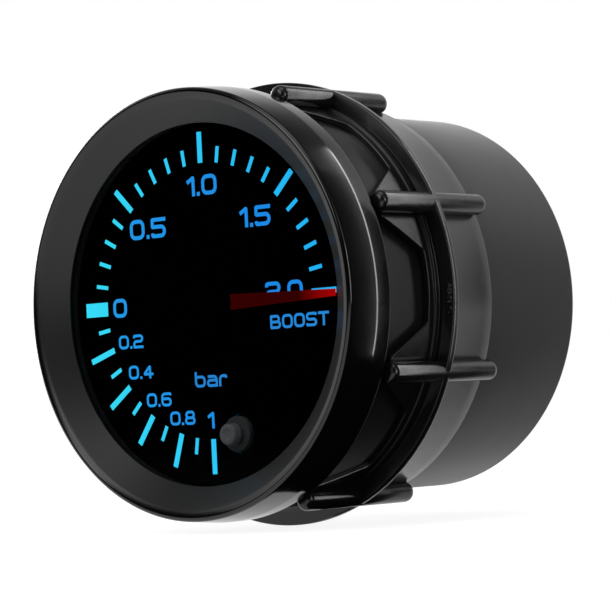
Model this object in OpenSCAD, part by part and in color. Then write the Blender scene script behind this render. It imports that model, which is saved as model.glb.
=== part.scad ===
// Boost gauge for a 52 mm panel hole, with a Bourdon tube movement.
// The gauge's axis is Y: the dial faces -Y, the hose and the wires leave towards +Y, and Z is up.
// The origin is on the axis, in the plane of the bezel's rear face, which seats on the panel.

/* [Can] */
// Outer diameter of the can
can_d = 52.4; // [46:0.1:60]
// Wall of the can
can_wall = 1.8; // [1.2:0.1:2.4]
// Length of the can behind the panel
can_length = 43.5; // [42:0.5:60]
// Radius of the can's rear edge
can_edge_r = 0.8; // [0.3:0.1:1.2]
// Height of the can's thread
can_thread_h = 0.3; // [0.2:0.05:0.5]
// Where the can's thread starts behind the panel
can_thread_start_y = 9.6; // [8:0.1:11]
// Length of the can's thread
can_thread_length = 9.8; // [6:0.1:11]
// Thickness of the flange that the bezel grips
flange_thickness = 1.8; // [1.2:0.1:2.4]

/* [Bezel] */
// Outer diameter of the bezel
bezel_d = 57.4; // [56.6:0.1:66]
// How far the bezel stands in front of the panel
bezel_depth = 7.9; // [6.6:0.1:8.6]
// Diameter of the opening over the lens
opening_d = 47.7; // [40:0.1:48]
// How far the lens edge stands in front of the panel
opening_depth = 4.8; // [4.6:0.1:5]
// Thickness of the lip over the lens
lip_thickness = 0.25; // [0.2:0.05:0.4]
// Radius of the bezel's rounded crest
crest_r = 1.3; // [0.8:0.1:1.6]
// How much slimmer the bezel is at its crest than at the panel
bezel_taper_width = 0.2; // [0:0.05:0.4]
// Radius of the bezel's rear corner
bezel_corner_r = 0.4; // [0.2:0.1:0.8]
// Thickness of the bezel's side
bezel_wall = 0.95; // [0.6:0.05:1.2]
// Thickness of the rear lip that is rolled behind the flange
rolled_lip_thickness = 0.5; // [0.3:0.1:0.8]

/* [Lens and gasket] */
// Thickness of the smoked lens
lens_thickness = 0.7; // [0.5:0.05:1]
// How far the lens reaches under the bezel
lens_grip_width = 1.5; // [1:0.1:1.8]
// Width of the gasket under the lens
gasket_width = 1.2; // [0.8:0.1:1.4]

/* [Dial] */
// Thickness of the dial
dial_thickness = 0.3; // [0.2:0.05:0.5]
// Gap between the lens and the dial
dial_gap = 0.75; // [0.7:0.05:1.5]
// Inner end of every scale mark, as a radius
mark_inner_r = 18.2; // [14:0.1:19]
// Length of a small mark
minor_mark_length = 2.15; // [1:0.05:3]
// Width of a small mark
minor_mark_width = 0.6; // [0.3:0.05:1]
// Length of a long mark above zero
boost_mark_length = 4.1; // [2:0.05:4.6]
// Length of a long mark below zero
vacuum_mark_length = 4.6; // [2:0.05:4.8]
// Width of a long mark
major_mark_width = 0.9; // [0.5:0.05:1.4]
// Width of the block at zero
zero_mark_width = 1.9; // [1:0.1:3]
// How far the scale's centre lies above the needle's axis
scale_rise_h = 0.5; // [0:0.1:1]
// Angle between two marks
mark_step = 9; // [6:0.5:9]
// Marks above zero
boost_marks = 20; // [10:1:20]
// Marks below zero
vacuum_marks = 10; // [5:1:10]
// Thickness of the light guide
guide_thickness = 2.1; // [1.8:0.1:2.6]

/* [Needle] */
// Reach of the needle from its axis
needle_length = 22.4; // [16:0.1:22.6]
// Width of the needle at the hub
needle_root_width = 2.1; // [1.2:0.1:3]
// Width of the needle at its tip
needle_tip_width = 0.9; // [0.3:0.1:1.4]
// Thickness of the needle
needle_thickness = 0.3; // [0.2:0.05:0.35]
// Diameter of the needle's black hub
hub_d = 9.4; // [5:0.1:12]
// Angle of the needle at rest, from the right, turning up
needle_rest = 0.4; // [-2:0.1:2]

/* [Button] */
// Diameter of the button's cap
button_d = 2.8; // [2:0.1:3.6]
// How far the cap stands in front of the lens edge
button_proud_h = 0.8; // [0.6:0.1:1.4]
// Distance of the button from the axis
button_r = 17.8; // [14:0.1:18.4]
// Angle of the button, from the right, turning up
button_angle = 285.3; // [280:0.1:330]
// Travel of the button
button_travel_length = 0.35; // [0.2:0.05:0.4]

/* [Boards] */
// Thickness of both circuit boards
board_thickness = 1; // [0.8:0.1:1.6]
// Height of an LED
led_h = 0.8; // [0.5:0.1:1]
// Number of LEDs
led_count = 12; // [6:1:16]
// Distance from the control board to the rear cover
control_post_length = 12.3; // [11:0.1:15]

/* [Movement] */
// Module of the gear teeth
gear_module = 0.2; // [0.18:0.01:0.22]
// Teeth on the pinion
pinion_teeth = 12; // [12:1:14]
// Teeth that a whole sector wheel would have
sector_teeth = 120; // [100:1:120]
// Play between the teeth
tooth_play = 0.03; // [0.02:0.01:0.05]
// Pressure angle of the teeth
pressure_angle = 25; // [25:1:26]
// Thickness of the sector gear
sector_thickness = 0.8; // [0.5:0.1:1.2]
// Distance from the panel to the front plate
movement_y = 6; // [5:0.5:7]
// Thickness of the movement plates
plate_thickness = 1; // [0.8:0.1:1.4]
// Distance between the movement plates
plate_gap = 6; // [5.5:0.1:7]
// Diameter of the needle's arbor
arbor_d = 1.1; // [0.8:0.1:1.4]
// Length of the sector's tail
tail_length = 5; // [4:0.1:5.5]
// Length of the link
link_length = 3.6; // [3.2:0.1:3.8]
// Angle that the sector turns over the whole scale
sector_swing = 27.6; // [20:0.1:28]

/* [Bourdon tube] */
// Room between the tube and the can's wall, for the cable and the tube's own flexing
tube_room_width = 4.2; // [3.6:0.1:4.6]
// Width of the flattened tube along the gauge's axis
tube_width = 7; // [5:0.1:8]
// Thickness of the flattened tube
tube_thickness = 2; // [1.4:0.1:2.4]
// Wall of the tube
tube_wall = 0.3; // [0.2:0.05:0.4]
// Angle at which the tube leaves the socket
tube_start = 285; // [284:1:290]
// Angle that the tube curls through
tube_sweep = 228; // [200:1:229]

/* [Rear] */
// Thickness of the rear cover
cover_thickness = 1.6; // [1.2:0.1:2.4]
// How far the rear cover lies inside the can's edge
cover_recess_depth = 0.6; // [0.4:0.1:1.5]
// Distance of the pressure port below the axis
port_drop_h = 13; // [12:0.1:13.5]
// Diameter of the socket's stem
stem_d = 8; // [7:0.1:9]
// Diameter of the threaded end of the stem
stem_thread_d = 7; // [6:0.1:7.5]
// Diameter of the nipple that the hose goes over
nipple_d = 4.4; // [3:0.1:5]
// Diameter of the nipple's barbs
barb_d = 5.2; // [4:0.1:5.8]
// Diameter of the air passage
passage_d = 1.8; // [1:0.1:2.2]
// Length of the nipple behind its shoulder
nipple_length = 11; // [8:0.5:14]
// Diameter of the hole for the wires
wire_hole_d = 3.8; // [2:0.1:5]

/* [Locking collar] */
// Outer diameter of the collar's sleeve
sleeve_d = 55.7; // [55:0.1:60]
// Where the sleeve ends behind the panel
sleeve_end_y = 22.6; // [21:0.1:26]
// Diameter of the collar's flange
collar_flange_d = 59.9; // [58:0.1:66]
// Where the flange's rear face lies behind the panel
collar_flange_end_y = 12.4; // [12:0.1:14]
// Thickness of the flange
collar_flange_thickness = 1.2; // [0.8:0.1:1.6]
// Number of grip bars
bar_count = 8; // [4:1:8]
// Diameter of a grip bar
bar_d = 2.8; // [2:0.1:3.4]
// Distance of the bars from the axis
bar_r = 28.6; // [28.4:0.1:29]
// Where the bars start behind the panel
bar_start_y = 0.8; // [0.5:0.1:2]
// Where the bars end behind the panel
bar_end_y = 23.1; // [21.5:0.1:26]
// Angle of the first bar
bar_angle = 23.7; // [0:0.1:45]
// Where the wall between the bars starts behind the panel
tooth_start_y = 2.4; // [2:0.1:4]
// Depth of the notches in the wall
notch_depth = 6.7; // [4:0.1:7]
// Half the angle of a notch at its floor
notch_floor_angle = 9.7; // [6:0.1:12]
// Half the angle of a notch at its mouth
notch_mouth_angle = 19.1; // [14:0.1:19.2]

/* [Fits] */
// Radial clearance of a running shaft
running_gap = 0.05; // [0.03:0.01:0.08]
// Clearance of a piece that is dropped into its seat
seat_gap = 0.15; // [0.1:0.05:0.25]
// Clearance beside a piece that moves
free_gap = 0.3; // [0.25:0.05:0.4]

/* [Hidden] */

$fn = 96;
// How far every cut runs past the face that it opens
overrun = 1;
// Steps in a drawn arc
arc_steps = 10;

can_r = can_d / 2;
can_inner_r = can_r - can_wall;
can_thread_r = can_r + can_thread_h;
bezel_r = bezel_d / 2;
opening_r = opening_d / 2;
bezel_chamfer_width = 0.85;
flange_r = bezel_r - bezel_wall - seat_gap;
flange_rear_y = -rolled_lip_thickness - seat_gap;
flange_front_y = flange_rear_y - flange_thickness;

lens_front_y = lip_thickness - opening_depth;
lens_rear_y = lens_front_y + lens_thickness;
lens_r = opening_r + lens_grip_width;
gasket_r = opening_r + seat_gap;

dial_front_y = lens_rear_y + dial_gap;
dial_rear_y = dial_front_y + dial_thickness;
dial_r = can_inner_r - seat_gap;
guide_rear_y = dial_rear_y + guide_thickness;
board_y = guide_rear_y + led_h + seat_gap;
board_rear_y = board_y + board_thickness;
ledge_depth = 2;
ledge_width = 1.8;
led_first_angle = 240;
led_arc = 300;

needle_front_y = lens_rear_y + (dial_gap - needle_thickness) / 2;
hub_skin_thickness = 0.12;
hub_overlap_length = 1.4;
arbor_hole_gap = 0.6;
arbor_hole_r = arbor_d / 2 + arbor_hole_gap;

button_place = polar(button_r, button_angle);
button_cap_r = button_d / 2;
button_front_y = -opening_depth - button_proud_h;
button_collar_width = 0.9;
button_collar_r = button_cap_r + button_collar_width;
button_collar_length = 1;
button_pocket_r = button_collar_r + free_gap;
button_edge_r = 0.25;
button_stem_r = 1.2;
switch_width = 4.4;
switch_h = 1.5;
plunger_r = 0.9;
plunger_h = 0.6;
plunger_proud_h = 0.4;
switch_top_y = board_y - switch_h;
plunger_top_y = switch_top_y - plunger_proud_h;
guide_pocket_r = switch_width * sqrt(2) / 2 + seat_gap;

plate_y = movement_y;
plate_rear_y = plate_y + plate_thickness;
rear_plate_y = plate_rear_y + plate_gap;
movement_rear_y = rear_plate_y + plate_thickness;
plate_core_r = 6;
lobe_r = 2.2;
strap_width = 3.2;
pillar_r = 1.5;
screw_hole_r = 0.7;
small_screw_r = 0.65;
small_head_r = 1.3;
small_head_h = 0.6;
slot_width = 0.35;

pinion_r = gear_module * pinion_teeth / 2;
sector_r = gear_module * sector_teeth / 2;
gear_centres = pinion_r + sector_r;
sector_place = [-gear_centres, 0];
pillar_shares = [[-0.64, 0.8], [-0.64, -0.8], [0.76, 0]];
pillar_places = pillar_shares * gear_centres;
pinion_length = 2.8;
sector_y = plate_rear_y + (plate_gap - sector_thickness) / 2;
pinion_y = sector_y - (pinion_length - sector_thickness) / 2;
tooth_foot = 1.25 * gear_module;
sector_spare_teeth = 2;
sector_tooth_angle = 360 / sector_teeth;
sector_tooth_count = ceil(sector_swing / sector_tooth_angle) + 2 * sector_spare_teeth + 1;
sector_rim_width = 1.6;
sector_arm_width = 1.5;
sector_hub_r = 2;
sector_arbor_r = 0.6;
tail_lean = 20;
tail_angle = 90 + tail_lean + sector_swing / 2;
tail_place = sector_place + polar(tail_length, tail_angle);
link_angle = 175;
tip_place = tail_place + polar(link_length, link_angle);
tip_travel = polar(tail_length, tail_angle - sector_swing) - polar(tail_length, tail_angle);
link_width = 1.5;
link_thickness = 0.5;
link_pin_r = 0.4;
link_y = sector_y - link_thickness - seat_gap;

collet_r = 1.7;
collet_h = 0.9;
collet_y = plate_rear_y + seat_gap;
spring_strip_thickness = 0.12;
spring_h = 0.5;
spring_y = collet_y + (collet_h - spring_h) / 2;
spring_turns = 4;
spring_inner_r = collet_r + 2 * running_gap + spring_strip_thickness / 2;
spring_outer_r = 4.6;
spring_end_angle = 225;
stud_width = 0.8;

tube_r = can_inner_r - tube_room_width - tube_thickness / 2;
tube_y = plate_y + plate_thickness / 2;
tube_mid_y = tube_y + tube_width / 2;
tube_end = tube_start + tube_sweep;
tube_corner_share = 0.46;
tip_plate_thickness = 0.8;
tip_y = link_y - tip_plate_thickness - seat_gap;
tip_slot_r = link_pin_r + free_gap;
tip_clamp_angle = 5;

socket_width = 10;
socket_depth = 8;
socket_top_h = 3.5;
socket_bottom_h = 8;
socket_arm_angle = 22;
socket_arm_wall = 1.1;
cover_y = can_length - cover_recess_depth - cover_thickness;
cover_rear_y = cover_y + cover_thickness;
port_place = [0, -port_drop_h];
washer_thickness = 0.4;
washer_r = 5.6;
nut_flats_width = 10;
nut_h = 2.6;
nut_y = cover_rear_y + washer_thickness;
nipple_y = nut_y + nut_h + seat_gap;
nipple_shoulder_r = 3.4;
nipple_shoulder_h = 1.6;
nipple_thread_r = 1.9;
nipple_thread_length = 5;
barb_count = 2;
barb_pitch = 2;
grommet_place = [9, 9];
grommet_wall = 1.3;
grommet_lip_width = 1.1;
grommet_lip_h = 1;
boss_r = 2.6;
boss_sink_depth = 0.4;
boss_place_r = can_inner_r - boss_r + boss_sink_depth;
boss_length = 9;
boss_angles = [90, 210, 330];
cover_screw_r = 1;
cover_head_r = 1.9;
cover_head_h = 0.9;

post_r = 1.4;
dial_post_place_r = 11;
dial_post_places = [for (a = [60, 180, 300]) polar(dial_post_place_r, a)];
control_y = cover_y - control_post_length - board_thickness;
control_post_place_r = 16;
control_post_places = [for (a = [10, 150, 235]) polar(control_post_place_r, a)];
control_margin_width = 2;
stem_hole_gap = 0.6;
chip_width = 7;
chip_h = 1.2;
capacitor_r = 2;
capacitor_h = 5;
wire_socket_length = 6;
wire_socket_width = 4;
wire_socket_h = 3.4;
control_r = can_inner_r - control_margin_width;
cable_width = 6;
cable_thickness = 0.4;
cable_margin_width = 1.2;
cable_place_h = tube_r + tube_thickness / 2 + cable_margin_width;

collar_bore_r = can_thread_r + free_gap;
collar_land_r = can_thread_r + running_gap;
collar_land_margin_width = 1.1;
collar_land_y = can_thread_start_y + can_thread_h + collar_land_margin_width;
collar_land_length = can_thread_length - can_thread_h - 2 * collar_land_margin_width;
sleeve_r = sleeve_d / 2;
collar_wall_inset_depth = 0.25;
collar_wall_r = sleeve_r - collar_wall_inset_depth;
rear_bore_r = can_r + free_gap;
rear_lip_length = 1.4;
sleeve_edge_r = 0.5;
step_rise_h = 0.3;
step_width = 0.7;
step_gap = 0.4;
flange_edge_r = 0.3;
collar_flange_start_y = collar_flange_end_y - collar_flange_thickness;
bar_front_edge_r = 0.9;

function polar(r, a) = r * [cos(a), sin(a)];

// Points on an arc about c, from angle a to angle b
function arc(c, r, a, b, n = arc_steps) =
    [for (i = [0:n]) c + polar(r, a + (b - a) * i / n)];

function degrees(a) = a * 180 / PI;
function involute_angle(a) = degrees(tan(a)) - a;

// Half the angle that a tooth fills at radius r
function tooth_half_angle(teeth, r) =
    let (pitch_r = gear_module * teeth / 2, base_r = pitch_r * cos(pressure_angle))
    degrees((PI * gear_module / 2 - tooth_play) / (2 * pitch_r)) + involute_angle(pressure_angle)
    - involute_angle(acos(min(1, base_r / r)));

// Outline of one tooth about angle a, from its foot over its tip to its foot
function tooth(teeth, a, steps = 4) =
    let (
        pitch_r = gear_module * teeth / 2,
        foot_r = pitch_r - tooth_foot,
        flank_r = max(foot_r, pitch_r * cos(pressure_angle)),
        tip_r = pitch_r + gear_module,
        radii = concat([foot_r], [for (i = [0:steps]) flank_r + (tip_r - flank_r) * i / steps])
    )
    concat(
        [for (r = radii) polar(r, a - tooth_half_angle(teeth, r))],
        [for (i = [len(radii) - 1:-1:0]) polar(radii[i], a + tooth_half_angle(teeth, radii[i]))]
    );

// Draws in the front view, x to the right and y up, and grows towards the rear from depth y
module from_front(y) {
    translate([0, y, 0]) rotate([-90, 0, 0]) mirror([0, 1, 0]) children();
}

module revolve(points) {
    from_front(0) rotate_extrude() polygon(points);
}

module rod(place, y, length, r) {
    from_front(y) translate(place) cylinder(h = length, r = r);
}

module flat(y, thickness) {
    from_front(y) linear_extrude(thickness) children();
}

// A straight bar with a round far end, between two places
module strap(from, to, width) {
    step = to - from;
    translate(from) rotate(atan2(step[1], step[0])) translate([0, -width / 2])
        square([norm(step), width]);
    translate(to) circle(d = width);
}

module ring(y, length, outer, inner) {
    from_front(y) difference() {
        cylinder(h = length, r = outer);
        translate([0, 0, -overrun]) cylinder(h = length + 2 * overrun, r = inner);
    }
}

module bezel() color("#121213") {
    lens_edge = [opening_r, -opening_depth];
    crest = [bezel_r - bezel_taper_width - crest_r, crest_r - bezel_depth];
    // The slope from the lens edge meets the crest without a corner
    down = lens_edge - crest;
    slope_angle = atan2(down[1], down[0]) + acos(crest_r / norm(down));
    corner = [bezel_r - bezel_corner_r, -bezel_corner_r];
    cavity_r = bezel_r - bezel_wall;
    rolled_r = can_r + free_gap;
    revolve(concat(
        [[opening_r, lens_front_y], lens_edge],
        arc(crest, crest_r, slope_angle, 360, 2 * arc_steps),
        arc(corner, bezel_corner_r, 0, 90),
        [[rolled_r, 0], [rolled_r, -rolled_lip_thickness], [cavity_r, -rolled_lip_thickness]],
        [[cavity_r, lens_front_y + bezel_chamfer_width], [cavity_r - bezel_chamfer_width, lens_front_y]]
    ));
}

module lens() color("#202428") difference() {
    rod([0, 0], lens_front_y, lens_thickness, lens_r);
    rod(button_place, lens_front_y - overrun, lens_thickness + 2 * overrun, button_cap_r + seat_gap);
}

module lens_gasket() color("#18181a") {
    revolve([
        [gasket_r, lens_rear_y], [gasket_r, dial_front_y], [can_inner_r, dial_front_y],
        [can_inner_r, flange_front_y], [can_inner_r + gasket_width, flange_front_y],
        [can_inner_r + gasket_width, lens_rear_y]
    ]);
}

module can() color("#1c1c1d") {
    edge = [can_r - can_edge_r, can_length - can_edge_r];
    ledge_r = can_inner_r - ledge_width;
    difference() {
        union() {
            revolve(concat(
                [[can_inner_r, flange_front_y], [flange_r, flange_front_y]],
                [[flange_r, flange_rear_y], [can_r, flange_rear_y]],
                [[can_r, can_thread_start_y], [can_thread_r, can_thread_start_y + can_thread_h]],
                [[can_thread_r, can_thread_start_y + can_thread_length]],
                [[can_r, can_thread_start_y + can_thread_length + can_thread_h]],
                arc(edge, can_edge_r, 0, 90),
                [[can_inner_r, can_length], [can_inner_r, board_rear_y + ledge_depth]],
                [[ledge_r, board_rear_y + ledge_depth], [ledge_r, board_rear_y]],
                [[can_inner_r, board_rear_y]]
            ));
            for (a = boss_angles) intersection() {
                rod(polar(boss_place_r, a), cover_y - boss_length, boss_length, boss_r);
                rod([0, 0], cover_y - boss_length, boss_length, can_inner_r + can_wall / 2);
            }
        }
        for (a = boss_angles)
            rod(polar(boss_place_r, a), cover_y - boss_length / 2 - overrun,
                boss_length / 2 + 2 * overrun, cover_screw_r + running_gap);
    }
}

module notch() {
    floor_y = tooth_start_y + notch_depth;
    cut_r = collar_flange_d / 2;
    wall_mid_r = (collar_wall_r + collar_bore_r) / 2;
    floor_half = wall_mid_r * tan(notch_floor_angle);
    mouth_half = wall_mid_r * tan(notch_mouth_angle);
    run_out = overrun * (mouth_half - floor_half) / notch_depth;
    translate([wall_mid_r - (cut_r - wall_mid_r), 0, 0]) rotate([0, 90, 0]) mirror([1, 0, 0])
        linear_extrude(2 * (cut_r - wall_mid_r)) polygon([
            [tooth_start_y - overrun, -mouth_half - run_out], [floor_y, -floor_half],
            [floor_y, floor_half], [tooth_start_y - overrun, mouth_half + run_out]
        ]);
}

module grip_bar() {
    r = bar_d / 2;
    rotate_extrude($fn = 48) polygon(concat(
        [[0, bar_start_y]],
        arc([r - bar_front_edge_r, bar_start_y + bar_front_edge_r], bar_front_edge_r, 270, 360, 5),
        arc([0, bar_end_y - r], r, 0, 90, 7)
    ));
}

module locking_collar() color("#161617") {
    edge = [sleeve_r - sleeve_edge_r, sleeve_end_y - sleeve_edge_r];
    flange_mid_r = collar_flange_d / 2 - flange_edge_r;
    step_end = collar_flange_start_y - step_gap;
    difference() {
        union() {
            difference() {
                revolve(concat(
                    [[collar_bore_r - overrun, tooth_start_y], [collar_wall_r, tooth_start_y]],
                    [[collar_wall_r, step_end - step_width]],
                    [[collar_wall_r + step_rise_h, step_end - step_width]],
                    [[collar_wall_r + step_rise_h, step_end], [collar_wall_r, step_end]],
                    [[collar_wall_r, collar_flange_start_y]],
                    arc([flange_mid_r, collar_flange_start_y + flange_edge_r], flange_edge_r,
                        270, 360, 4),
                    arc([flange_mid_r, collar_flange_end_y - flange_edge_r], flange_edge_r, 0, 90, 4),
                    [[sleeve_r, collar_flange_end_y]],
                    arc(edge, sleeve_edge_r, 0, 90, 4),
                    [[collar_bore_r - overrun, sleeve_end_y]]
                ));
                for (i = [0:bar_count - 1]) from_front(0)
                    rotate(bar_angle + (i + 0.5) * 360 / bar_count) notch();
            }
            for (i = [0:bar_count - 1])
                from_front(0) translate(polar(bar_r, bar_angle + i * 360 / bar_count)) grip_bar();
        }
        revolve([
            [0, bar_start_y - overrun], [collar_bore_r, bar_start_y - overrun],
            [collar_bore_r, collar_land_y],
            [collar_land_r, collar_land_y], [collar_land_r, collar_land_y + collar_land_length],
            [collar_bore_r, collar_land_y + collar_land_length],
            [collar_bore_r, sleeve_end_y - rear_lip_length],
            [rear_bore_r, sleeve_end_y - rear_lip_length], [rear_bore_r, sleeve_end_y + overrun],
            [0, sleeve_end_y + overrun]
        ]);
    }
}

module rear_cover() color("#1a1a1b") difference() {
    rod([0, 0], cover_y, cover_thickness, can_inner_r - seat_gap);
    cut_y = cover_y - overrun;
    cut = cover_thickness + 2 * overrun;
    rod(port_place, cut_y, cut, stem_thread_d / 2 + seat_gap);
    rod(grommet_place, cut_y, cut, wire_hole_d / 2 + grommet_wall);
    for (a = boss_angles) rod(polar(boss_place_r, a), cut_y, cut, cover_screw_r + seat_gap);
}

module slotted_screw(place, y, shank, shank_r, head_h, head_r) {
    difference() {
        union() {
            rod(place, y - shank, shank, shank_r);
            rod(place, y, head_h, head_r);
        }
        from_front(y + head_h / 2) translate([place[0] - head_r - overrun, place[1] - slot_width / 2, 0])
            cube([2 * (head_r + overrun), slot_width, head_h]);
    }
}

module cover_screws() color("#8a8d90")
    for (a = boss_angles)
        slotted_screw(polar(boss_place_r, a), cover_rear_y, cover_thickness + boss_length / 2,
            cover_screw_r, cover_head_h, cover_head_r);

module wire_grommet() color("#151516") from_front(0) translate(grommet_place) {
    hole_r = wire_hole_d / 2;
    neck_r = hole_r + grommet_wall;
    lip_r = neck_r + grommet_lip_width;
    rotate_extrude() polygon([
        [hole_r, cover_y - grommet_lip_h], [lip_r - grommet_lip_h / 2, cover_y - grommet_lip_h],
        [lip_r, cover_y], [neck_r, cover_y], [neck_r, cover_rear_y], [lip_r, cover_rear_y],
        [lip_r - grommet_lip_h / 2, cover_rear_y + grommet_lip_h],
        [hole_r, cover_rear_y + grommet_lip_h]
    ]);
}

module pressure_socket() color("#b8934a") difference() {
    arm_r = tube_thickness / 2 + socket_arm_wall;
    block_bottom = -port_drop_h - socket_bottom_h;
    union() {
        from_front(movement_rear_y) translate([-socket_width / 2, block_bottom, 0])
            cube([socket_width, socket_bottom_h + socket_top_h, socket_depth]);
        from_front(tube_y - socket_arm_wall)
            rotate(tube_start - socket_arm_angle) rotate_extrude(angle = socket_arm_angle)
                translate([tube_r - arm_r, 0])
                    square([2 * arm_r, movement_rear_y + overrun - tube_y + socket_arm_wall]);
        rod(port_place, movement_rear_y + socket_depth - overrun,
            cover_y - movement_rear_y - socket_depth + overrun, stem_d / 2);
        rod(port_place, cover_y - overrun, nut_y + nut_h - cover_y + overrun, stem_thread_d / 2);
    }
    rod(port_place, nut_y + nut_h - nipple_thread_length - seat_gap,
        nipple_thread_length + seat_gap + overrun, nipple_thread_r + running_gap);
    rod(port_place, movement_rear_y + socket_depth / 2, cover_rear_y - movement_rear_y,
        passage_d / 2);
    rod(port_place, movement_rear_y - overrun, small_head_h + 2 * overrun + plate_thickness,
        small_screw_r + running_gap);
}

module port_washer() color("#9a9da0")
    translate([0, 0, -port_drop_h]) ring(cover_rear_y, washer_thickness, washer_r,
        stem_thread_d / 2 + seat_gap);

module port_nut() color("#b89a5a") difference() {
    from_front(nut_y) translate(port_place) rotate(30)
        cylinder(h = nut_h, r = nut_flats_width / 2 / cos(30), $fn = 6);
    rod(port_place, nut_y - overrun, nut_h + 2 * overrun, stem_thread_d / 2 + running_gap);
}

module hose_nipple() color("#c9a34f") from_front(0) translate(port_place) {
    foot_y = nut_y + nut_h - nipple_thread_length;
    neck_y = nipple_y + nipple_shoulder_h;
    tip_y = neck_y + nipple_length;
    first_barb_y = tip_y - barb_count * barb_pitch;
    rotate_extrude() polygon(concat(
        [[passage_d / 2, foot_y], [nipple_thread_r, foot_y], [nipple_thread_r, nipple_y]],
        [[nipple_shoulder_r, nipple_y], [nipple_shoulder_r, neck_y], [nipple_d / 2, neck_y]],
        [for (i = [0:barb_count - 1]) each [
            [nipple_d / 2, first_barb_y + i * barb_pitch],
            [barb_d / 2, first_barb_y + i * barb_pitch],
            [nipple_d / 2, first_barb_y + (i + 1) * barb_pitch]
        ]],
        [[passage_d / 2, tip_y]]
    ));
}

module scale_mark(a, length, width) {
    rotate(a) translate([mark_inner_r, -width / 2]) square([length, width]);
}

// The scale: five marks to each long one above zero, two below
module scale_marks() translate([0, scale_rise_h]) {
    for (i = [1:boost_marks])
        if (i % 5 == 0) scale_mark(180 - i * mark_step, boost_mark_length, major_mark_width);
        else scale_mark(180 - i * mark_step, minor_mark_length, minor_mark_width);
    for (i = [1:vacuum_marks])
        if (i % 2 == 0) scale_mark(180 + i * mark_step, vacuum_mark_length, major_mark_width);
        else scale_mark(180 + i * mark_step, minor_mark_length, minor_mark_width);
    scale_mark(180, boost_mark_length, zero_mark_width);
}

module dial() color("#070708") flat(dial_front_y, dial_thickness) difference() {
    circle(r = dial_r);
    circle(r = arbor_hole_r);
    translate(button_place) circle(r = button_pocket_r);
    scale_marks();
}

module light_guide() color("#9fc7dd") flat(dial_rear_y, guide_thickness) difference() {
    circle(r = dial_r);
    circle(r = arbor_hole_r);
    translate(button_place) circle(r = guide_pocket_r);
}

module led_board() color("#12301f") flat(board_y, board_thickness) difference() {
    circle(r = dial_r);
    circle(r = arbor_hole_r);
}

module leds() color("#e8eef2")
    for (i = [0:led_count - 1]) {
        side = 2 * led_h;
        a = led_first_angle - i * led_arc / (led_count - 1);
        from_front(board_y - led_h) rotate(a) translate([mark_inner_r - side, -side / 2, 0])
            cube([side, side, led_h]);
    }

module board_cable() color("#3a3a3c")
    from_front(board_rear_y) translate([-cable_width / 2, cable_place_h, 0])
        cube([cable_width, cable_thickness, control_y - board_rear_y]);

module control_board() color("#123a24") flat(control_y, board_thickness) difference() {
    circle(r = control_r);
    translate(port_place) circle(r = stem_d / 2 + stem_hole_gap);
}

module control_parts() color("#202022") {
    from_front(control_y + board_thickness) {
        translate([-chip_width / 2, -chip_width / 2, 0]) cube([chip_width, chip_width, chip_h]);
        translate([-chip_width - wire_socket_length, -wire_socket_width / 2, 0])
            cube([wire_socket_length, wire_socket_width, wire_socket_h]);
        for (p = [[chip_width + capacitor_r, 0], [chip_width / 2, chip_width + capacitor_r]])
            translate(p) cylinder(h = capacitor_h, r = capacitor_r);
    }
}

module control_posts() color("#b08d49")
    for (p = control_post_places)
        rod(p, control_y + board_thickness, control_post_length, post_r);

module dial_posts() color("#b08d49")
    for (p = dial_post_places) rod(p, board_rear_y, plate_y - board_rear_y, post_r);

module needle() color("#b80f0f") flat(needle_front_y, needle_thickness) rotate(needle_rest) {
    root = hub_d / 2 - hub_overlap_length;
    polygon([
        [root, -needle_root_width / 2], [needle_length, -needle_tip_width / 2],
        [needle_length, needle_tip_width / 2], [root, needle_root_width / 2]
    ]);
}

module needle_hub() color("#0c0c0d") difference() {
    rod([0, 0], needle_front_y - hub_skin_thickness, needle_thickness + 2 * hub_skin_thickness, hub_d / 2);
    rod([0, 0], needle_front_y, needle_thickness + overrun, arbor_d / 2);
    flat(needle_front_y, needle_thickness) rotate(needle_rest)
        translate([hub_d / 2 - hub_overlap_length, -needle_root_width / 2])
            square([hub_overlap_length + overrun, needle_root_width]);
}

module pinion_arbor() color("#c8cbce") {
    rod([0, 0], needle_front_y, movement_rear_y - needle_front_y, arbor_d / 2);
    flat(pinion_y, pinion_length) polygon([
        for (i = [0:pinion_teeth - 1]) each tooth(pinion_teeth, (i + 0.5) * 360 / pinion_teeth)
    ]);
}

module button() color("#8b8f92") from_front(0) translate(button_place) {
    collar_y = lens_rear_y + seat_gap / 2;
    foot_y = plunger_top_y;
    rotate_extrude($fn = 48) polygon(concat(
        [[0, foot_y], [0, button_front_y]],
        arc([button_cap_r - button_edge_r, button_front_y + button_edge_r], button_edge_r, 270, 360, 4),
        [[button_cap_r, collar_y], [button_collar_r, collar_y]],
        [[button_collar_r, collar_y + button_collar_length]],
        [[button_stem_r, collar_y + button_collar_length], [button_stem_r, foot_y]]
    ));
}

module switch_plunger() color("#d8d8d4")
    rod(button_place, plunger_top_y, plunger_h, plunger_r);

module switch_body() color("#26282a") difference() {
    from_front(switch_top_y) translate(button_place) translate([-switch_width / 2, -switch_width / 2, 0])
        cube([switch_width, switch_width, switch_h]);
    rod(button_place, switch_top_y - overrun, plunger_h + button_travel_length + overrun,
        plunger_r + seat_gap);
}

module plate_outline() {
    circle(r = plate_core_r);
    strap([0, 0], sector_place, strap_width);
    translate(sector_place) circle(r = lobe_r);
    for (p = pillar_places) {
        strap([0, 0], p, strap_width);
        translate(p) circle(r = lobe_r);
    }
}

module plate_holes() {
    circle(r = arbor_d / 2 + running_gap);
    translate(sector_place) circle(r = sector_arbor_r + running_gap);
    for (p = pillar_places) translate(p) circle(r = screw_hole_r);
}

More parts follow.
